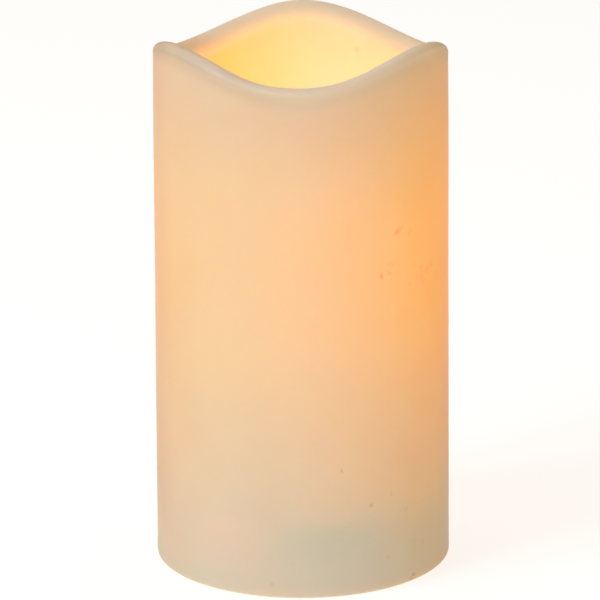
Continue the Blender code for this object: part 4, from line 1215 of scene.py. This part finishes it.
def build_chip():
    cx, cy, z0 = -0.0032, 0.0264, BOARD_TOP + GAP
    bm = bmesh.new()
    box_mesh(bm, (cx - 0.00245, cy - 0.00195, z0 + 0.0001), (cx + 0.00245, cy + 0.00195, z0 + 0.0015))
    # moulding draft: both halves narrow away from the parting line
    bmesh.ops.bisect_plane(bm, geom=bm.verts[:] + bm.edges[:] + bm.faces[:], plane_co=(0, 0, z0 + 0.0008), plane_no=(0, 0, 1))
    for v in bm.verts:
        if abs(v.co.z - (z0 + 0.0008)) > 1e-5:
            v.co.x = cx + (v.co.x - cx) * 0.965
            v.co.y = cy + (v.co.y - cy) * 0.955
    edges = [e for e in bm.edges if len(e.link_faces) == 2 and e.calc_face_angle(0) > 0.6]
    bmesh.ops.bevel(bm, geom=edges, offset=0.00007, segments=2, profile=0.5, affect="EDGES")
    ob = temp("chip", bm)
    dimple = lathe_mesh("dimple", rounded([(0.0, z0 + 0.0020), (0.00032, z0 + 0.0020), (0.00032, z0 + 0.00142), (0.0, z0 + 0.00138)], 0.00003),
                        20, at=(cx - 0.0018, cy - 0.0013))
    return finished(boolean(ob, temp_mesh("dimple", dimple)), "chip_body")


CHIP = moulded("chip_epoxy_black", (0.028, 0.028, 0.029), (0.042, 0.041, 0.041), 0.48, 3600.0, 0.00001, sss=0)
link("chip_body", build_chip(), CHIP, ("timer_chip",), sharp=50, even=True)
bm = bmesh.new()
for side in (-1, 1):
    for k in range(4):
        x, z0 = -0.0032 + (k - 1.5) * 0.00127, BOARD_TOP + GAP
        path = [(x, 0.0264 + side * d, z0 + h) for d, h in (
            (0.0017, 0.00082), (0.0020, 0.00082), (0.00214, 0.00078), (0.00222, 0.00066), (0.00230, 0.00024),
            (0.00238, 0.00012), (0.00252, 0.00008), (0.0029, 0.00008))]
        strip(bm, path, (1, 0, 0), 0.00038, 0.00015)
link("chip_legs", mesh_of("chip_legs", bm), TINNED, sharp=50)

# crystal: a drawn can with a pressed flange, lying on the board on two bent leads
z = BOARD_TOP + GAP + 0.0010
profile = rounded([(0.0, 0.0060), (0.00088, 0.0060), (0.00092, 0.0008), (0.0010, 0.0007), (0.0010, 0.0001), (0.0, 0.0)],
                  [0, 0.00028, 0.00005, 0.00006, 0.00005, 0], 5)
mesh = lathe_mesh("crystal_can", profile, 40)
mesh.transform(Matrix.Translation((0.0072, 0.0228, z)) @ Matrix.Rotation(-pi / 2, 4, "X"))
link("crystal_can", mesh, CAN, ("timing_crystal",), sharp=35)
bm = bmesh.new()
for side in (-1, 1):
    x = 0.0072 + side * 0.0005
    sweep(bm, smooth_route([(x, 0.0229, z), (x, 0.0227, z), (x + side * 0.0001, 0.0225, z - 0.0003),
                            (x + side * 0.0001, 0.0225, BOARD_TOP + 0.0001)], 5), 0.00014, 10)
link("crystal_leads", mesh_of("crystal_leads", bm), TINNED, sharp=50)


def resistor_shader():
    """Tan lacquer with four painted value bands."""
    s = Shader("resistor_tan_bands", (0.72, 0.55, 0.36), 0.36)
    x, y, z = s.xyz()
    cloud = s.noise(900.0, 3.0, 0.5)
    tone = s.mix(s.span(cloud, 0.3, 0.7), (0.70, 0.53, 0.34), (0.62, 0.45, 0.27))
    wavy = s.math("ADD", x, s.span(cloud, 0.3, 0.7, -0.00005, 0.00005, "LINEAR"))
    for at, colour in ((-0.0031, (0.28, 0.09, 0.03)), (-0.0019, (0.02, 0.02, 0.02)), (-0.0009, (0.42, 0.02, 0.02)), (0.0011, (0.55, 0.38, 0.08))):
        off = s.math("ABSOLUTE", s.math("SUBTRACT", wavy, at))
        tone = s.mix(s.span(off, 0.00024, 0.00030, 1.0, 0.0), tone, colour)
    s.feed("Base Color", tone)
    s.feed("Roughness", s.span(cloud, 0.3, 0.7, 0.30, 0.44))
    s.feed("Normal", s.bump(cloud, 0.25, 0.00003))
    s.set("Coat Weight", 0.30)
    s.set("Coat Roughness", 0.20)
    return s


z, y, x0, x1 = BOARD_TOP + GAP + 0.0012, 0.0219, -0.0062, 0.0042
middle = (x0 + x1) / 2
body = spline_profile([(0.0003, 0.0031), (0.00075, 0.00300), (0.00106, 0.0026), (0.00112, 0.0021), (0.00106, 0.0016), (0.00092, 0.0011), (0.0009, 0.0)], 4)
body = [(0.0, 0.0031)] + body + [(r, -h) for r, h in reversed(body[:-1])] + [(0.0, -0.0031)]
mesh = lathe_mesh("resistor_body", body, 32)
mesh.transform(Matrix.Translation((middle, y, z)) @ Matrix.Rotation(pi / 2, 4, "Y"))
link("resistor_body", mesh, resistor_shader(), ("resistor",), sharp=50)
bm = bmesh.new()
for side in (-1, 1):
    xe = x0 + 0.0004 if side < 0 else x1 - 0.0004
    sweep(bm, smooth_route([(middle + side * 0.0029, y, z), (xe - side * 0.0006, y, z), (xe - side * 0.0001, y, z - 0.00012),
                            (xe, y, z - 0.0005), (xe, y, BOARD_TOP + 0.0001)], 6), 0.00025, 12)
link("resistor_leads", mesh_of("resistor_leads", bm), TINNED, sharp=50)


def capacitor_shader():
    """Shrink sleeve with a pale stripe on the negative side, bare can on top."""
    s = Shader("capacitor_sleeve_blue", (0.04, 0.05, 0.11), 0.34)
    x, y, z = s.xyz()
    dx, dy = s.math("SUBTRACT", x, 0.0026), s.math("SUBTRACT", y, 0.0266)
    r = s.math("SQRT", s.math("ADD", s.math("MULTIPLY", dx, dx), s.math("MULTIPLY", dy, dy)))
    turn = s.math("ABSOLUTE", s.math("ARCTAN2", dy, dx))
    cloud = s.noise(700.0, 3.0, 0.5)
    tone = s.mix(s.span(cloud, 0.3, 0.7), (0.030, 0.038, 0.095), (0.046, 0.056, 0.130))
    stripe = s.span(turn, 0.36, 0.40, 1.0, 0.0)
    tone = s.mix(stripe, tone, (0.50, 0.52, 0.56))
    mark = s.math("MULTIPLY", s.span(turn, 0.10, 0.12, 1.0, 0.0),
                  s.span(s.math("ABSOLUTE", s.math("SINE", s.math("MULTIPLY", z, pi / 0.0016))), 0.86, 0.90))
    tone = s.mix(mark, tone, (0.04, 0.05, 0.10))
    bare = s.math("MULTIPLY", s.span(r, 0.00172, 0.00178, 1.0, 0.0), s.span(z, BOARD_TOP + 0.0060, BOARD_TOP + 0.0061))
    tone = s.mix(bare, tone, s.mix(s.span(cloud, 0.3, 0.7), (0.78, 0.78, 0.79), (0.66, 0.66, 0.68)))
    s.feed("Base Color", tone)
    s.feed("Metallic", bare)
    s.feed("Roughness", s.span(cloud, 0.3, 0.7, 0.26, 0.42))
    s.feed("Normal", s.bump(cloud, 0.25, 0.00003))
    return s


z0 = BOARD_TOP + GAP
profile = rounded([
    (0.0, z0 + 0.00645), (0.00170, z0 + 0.00645), (0.00180, z0 + 0.0066), (0.0022, z0 + 0.0066), (0.0023, z0 + 0.0060),
    (0.0023, z0 + 0.0014), (0.00212, z0 + 0.0010), (0.0023, z0 + 0.0006), (0.0023, z0), (0.0, z0),
], [0, 0.00005, 0.00005, 0.0002, 0.0002, 0.0003, 0.0003, 0.0002, 0.00015, 0], 5)
ob = temp_mesh("capacitor_can", lathe_mesh("capacitor_can", profile, 48, at=(0.0026, 0.0266)))
for turn in (0, 1):                                      # the scored vent
    bm = bmesh.new()
    box_mesh(bm, (-0.0013, -0.00008, z0 + 0.00635), (0.0013, 0.00008, z0 + 0.0070),
             Matrix.Translation((0.0026, 0.0266, 0)) @ Matrix.Rotation(pi / 4 + pi / 2 * turn, 4, "Z"))
    ob = boolean(ob, temp("vent", bm))
link("capacitor_can", finished(ob, "capacitor_can"), capacitor_shader(), ("capacitor",), sharp=35)


# ---------------------------------------------------------------- lamp on its stem
def stem_shader():
    s = moulded("stem_white_lit", (0.860, 0.835, 0.780), (0.820, 0.790, 0.725), 0.46, 1300.0)
    x, y, z = s.xyz()
    near = s.span(z, 0.030, 0.0915)
    s.feed("Emission Color", s.mix(near, (0.03, 0.012, 0.002), (0.36, 0.16, 0.03)))
    s.set("Emission Strength", 1.0)
    return s


profile = rounded([
    (0.0036, STEM_TOP), (0.0036, COLLAR_TOP), (0.0062, COLLAR_TOP), (0.0062, COLLAR_TOP - 0.0012),
    (0.0044, COLLAR_TOP - 0.0036), (0.0037, COLLAR_TOP - 0.0060), (0.00372, COLLAR_TOP - 0.0064),
    (0.0040, 0.0344), (0.0040, 0.0340), (0.0042, 0.0337), (0.0042, 0.0330), (0.0040, 0.0327),
    (STEM_RADIUS, COVER_TOP + GAP), (STEM_BORE, COVER_TOP + GAP), (STEM_BORE, STEM_TOP),
], [0.00012, 0.0003, 0.0002, 0.0003, 0.0012, 0.0010, 0, 0, 0, 0.0001, 0.0001, 0, 0.0002, 0.0001, 0.00012], 5, closed=True)
stem = lathe_mesh("lamp_post", profile, 64, closed=True)
bm = bmesh.new()
bm.from_mesh(stem)
for k in range(4):
    web = bmesh.new()
    box_mesh(web, (0.0034, -0.00035, COLLAR_TOP - 0.0085), (0.0058, 0.00035, COLLAR_TOP - 0.0008))
    for v in web.verts:
        if v.co.x > 0.005 and v.co.z < COLLAR_TOP - 0.004:
            v.co.x = 0.0039
    bmesh.ops.bevel(web, geom=web.edges[:], offset=0.00010, segments=2, profile=0.5, affect="EDGES")
    bmesh.ops.rotate(web, cent=(0, 0, 0), matrix=Matrix.Rotation(pi / 4 + k * pi / 2, 3, "Z"), verts=web.verts)
    scratch = mesh_of("web", web)
    bm.from_mesh(scratch)
    bpy.data.meshes.remove(scratch)
link("lamp_post", mesh_of("lamp_post", bm), stem_shader(), ("lamp_stem",), sharp=35)


def lens_shader():
    """Tinted epoxy, lit from the die inside: brightest above the cup, fading into the flange."""
    s = Shader("lamp_epoxy_lit", (0.98, 0.66, 0.25), 0.14)
    x, y, z = s.xyz()
    cloud = s.noise(600.0, 2.0, 0.5)
    up = s.span(z, STEM_TOP + GAP, 0.1014)
    glow = s.ramp(up, ((0.0, (0.50, 0.16, 0.02)), (0.35, (1.0, 0.50, 0.10)), (0.62, (1.0, 0.86, 0.46)), (1.0, (1.0, 0.74, 0.30))), "EASE")
    s.feed("Base Color", s.mix(s.span(cloud, 0.3, 0.7), (0.98, 0.66, 0.25), (0.94, 0.60, 0.20)))
    s.feed("Emission Color", glow)
    s.set("Emission Strength", 2.6)
    s.set("IOR", 1.54)
    s.set("Coat Weight", 0.4)
    s.set("Coat Roughness", 0.05)
    s.feed("Roughness", s.span(cloud, 0.3, 0.7, 0.10, 0.20))
    return s


z0 = STEM_TOP + GAP
profile = [(0.0, z0 + 0.0087)]
profile += [(0.0025 * cos(a), z0 + 0.0062 + 0.0025 * sin(a)) for a in [pi / 2 * (1 - k / 12) for k in range(1, 13)]]
profile += [(0.00252, z0 + 0.0040), (0.00254, z0 + 0.0013), (0.00262, z0 + 0.00108), (0.0028, z0 + 0.0010), (0.0029, z0 + 0.0009),
            (0.0029, z0 + 0.0001), (0.0028, z0), (0.0, z0)]
lens = lathe_mesh("led_dome", profile, 48)
for v in lens.vertices:                                   # the flat that marks the cathode's side
    if v.co.z < z0 + 0.00095 and v.co.x > 0.0026:
        v.co.x = 0.0026
link("led_dome", lens, lens_shader(), ("lamp_lens",), sharp=35)

for name, x, length in (("lamp_lead_anode", -0.00127, 0.0088), ("lamp_lead_cathode", 0.00127, 0.0080)):
    bm = bmesh.new()
    box_mesh(bm, (x - 0.00025, -0.00025, STEM_TOP - length), (x + 0.00025, 0.00025, STEM_TOP))
    bmesh.ops.bevel(bm, geom=bm.edges[:], offset=0.00007, segments=2, profile=0.5, affect="EDGES")
    mound(bm, (x, 0.0, STEM_TOP - length + 0.0003), 0.00036, 0.0010, (0, 0, 1), 14)
    link(name + "_fine", mesh_of(name, bm), TINNED, (name,), sharp=40)


def flame_shader():
    """Frosted cap lit from inside: white-hot round the lamp, amber towards the tip and the open end."""
    s = Shader("flame_frosted_lit", (0.88, 0.70, 0.42), 0.46)
    x, y, z = s.xyz()
    cloud = s.noise(260.0, 3.0, 0.5)
    frost = s.noise(2600.0, 2.0, 0.5)
    up = s.math("DIVIDE", s.math("SUBTRACT", s.math("ADD", z, s.span(cloud, 0.3, 0.7, -0.0008, 0.0008, "LINEAR")), COLLAR_TOP), 0.0315)
    glow = s.ramp(up, (
        (0.00, (0.66, 0.26, 0.04)), (0.16, (0.90, 0.48, 0.13)), (0.34, (1.00, 0.74, 0.34)), (0.46, (1.00, 0.70, 0.30)),
        (0.68, (0.86, 0.44, 0.11)), (1.00, (0.62, 0.22, 0.03))), "B_SPLINE")
    s.feed("Base Color", s.mix(s.span(cloud, 0.3, 0.7), (0.88, 0.70, 0.42), (0.84, 0.65, 0.36)))
    s.feed("Emission Color", glow)
    s.set("Emission Strength", 0.62)
    s.feed("Roughness", s.span(frost, 0.3, 0.7, 0.40, 0.54))
    s.feed("Normal", s.bump(frost, 0.30, 0.00003))
    s.set("Subsurface Weight", 0.30)
    s.set("Subsurface Radius", (1.0, 0.6, 0.3))
    s.set("Subsurface Scale", 0.0015)
    return s


z0 = COLLAR_TOP + GAP
outer = [(0.0000, 0.0312), (0.0006, 0.0304), (0.0014, 0.0286), (0.0026, 0.0256), (0.0041, 0.0216), (0.0056, 0.0172),
         (0.0067, 0.0126), (0.0072, 0.0084), (0.0069, 0.0046), (0.0061, 0.0016), (0.0056, 0.0000)]
inner = [(0.0047, 0.0000), (0.0052, 0.0018), (0.0060, 0.0048), (0.0063, 0.0084), (0.0058, 0.0122), (0.0048, 0.0164),
         (0.0034, 0.0206), (0.0019, 0.0246), (0.0000, 0.0284)]
profile = [(r, z0 + h) for r, h in spline_profile(outer, 6)[:-1]]
profile = [(0.0, profile[0][1])] + [p for p in profile[1:] if p[0] > 0]
profile += [(0.00552, z0 + 0.00012), (0.0054, z0), (0.0049, z0), (0.00478, z0 + 0.00012)]
profile += [(r, z0 + h) for r, h in spline_profile(inner, 6)[1:-1] if r > 0.0001] + [(0.0, z0 + 0.0284)]
flame = lathe_mesh("flame_cap", profile, 96)
for v in flame.vertices:                                  # the cap is cast with a slow twist, like a flame in still air
    h = (v.co.z - z0) / 0.0312
    a = atan2(v.co.y, v.co.x)
    k = 1.0 - 0.022 * smooth(h * 3.0) * (1.0 - smooth((h - 0.72) / 0.28)) * (0.5 + 0.5 * cos(5 * (a + 2.2 * h)))
    v.co.x *= k
    v.co.y *= k
link("flame_cap", flame, flame_shader(), ("flame_diffuser",), sharp=45)


# ---------------------------------------------------------------- wires
WIRE = 0.00055


def wire_piece(name, route, shader, node, strip_start, strip_end):
    """The insulated run, and its bared ends as a separate tinned piece."""
    bm = bmesh.new()
    sweep(bm, route, WIRE, 16)
    link(name, mesh_of(name, bm), shader, (node,), sharp=50)
    bm = bmesh.new()
    sweep(bm, strip_start, 0.00026, 10)
    sweep(bm, strip_end, 0.00026, 10)
    link(name + "_ends", mesh_of(name + "_ends", bm), TINNED, sharp=50)


low = BOARD_TOP + GAP
red = smooth_route(
    [(-0.0280, -CELL_Y, 0.0218), (-0.0250, -0.0070, 0.0219), (-0.0200, -0.0020, 0.0216), (-0.0130, 0.0070, 0.0216),
     (-0.0080, 0.0140, 0.0217), (-0.0066, 0.0180, 0.0200), (-0.0065, 0.0194, 0.0160), (-0.0065, 0.0196, 0.0120),
     (-0.0065, 0.0196, low)], 9)
black = smooth_route(
    [(-0.0280, CELL_Y, 0.0218), (-0.0256, 0.0086, 0.0219), (-0.0206, 0.0126, 0.0216), (-0.0150, 0.0164, 0.0214),
     (-0.0114, 0.0188, 0.0192), (-0.0102, 0.0195, 0.0150), (-0.0100, 0.0196, 0.0120), (-0.0100, 0.0196, low)], 9)
wire_piece("lead_red", red, RED, "wire_red",
           [(-0.0286, -CELL_Y, 0.0217), (-0.0282, -CELL_Y, 0.0218), (-0.0279, -CELL_Y, 0.0218)],
           [(-0.0065, 0.0196, low + 0.0001), (-0.0065, 0.0196, BOARD_TOP + 0.0001)])
wire_piece("lead_black", black, BLACK, "wire_black",
           [(-0.0286, CELL_Y, 0.0217), (-0.0282, CELL_Y, 0.0218), (-0.0279, CELL_Y, 0.0218)],
           [(-0.0100, 0.0196, low + 0.0001), (-0.0100, 0.0196, BOARD_TOP + 0.0001)])
for name, node, x_board, x_stem, x_lead, shader, slot in (
    ("lead_yellow", "wire_lamp_positive", 0.0068, -0.0010, -0.00127, YELLOW, "wire_yellow"),
    ("lead_white", "wire_lamp_negative", 0.0100, 0.0010, 0.00127, WHITE, "wire_white"),
):
    bend = 0.5 * (x_board + x_stem)
    route = smooth_route(
        [(x_board, 0.0196, low), (x_board, 0.0196, 0.0130), (x_board, 0.0193, 0.0170),
         (x_board - 0.0004, 0.0176, 0.0206), (bend + 0.0024, 0.0120, 0.0219), (bend - 0.0002, 0.0060, 0.0219),
         (x_stem + 0.0006, 0.0016, 0.0232), (x_stem, 0.0002, 0.0262), (x_stem, 0.0, 0.0300)], 9)
    top = STEM_TOP - 0.0094
    route += [Vector((x_stem, 0.0, 0.0300 + (top - 0.0300) * k / 12)) for k in range(1, 13)]
    wire_piece(name, route, shader, node,
               [(x_board, 0.0196, low + 0.0001), (x_board, 0.0196, BOARD_TOP + 0.0001)],
               [(x_stem, 0.0, top - 0.0002), (x_stem * 1.1, 0.0, top + 0.0003), (x_lead, 0.0, top + 0.0009)])
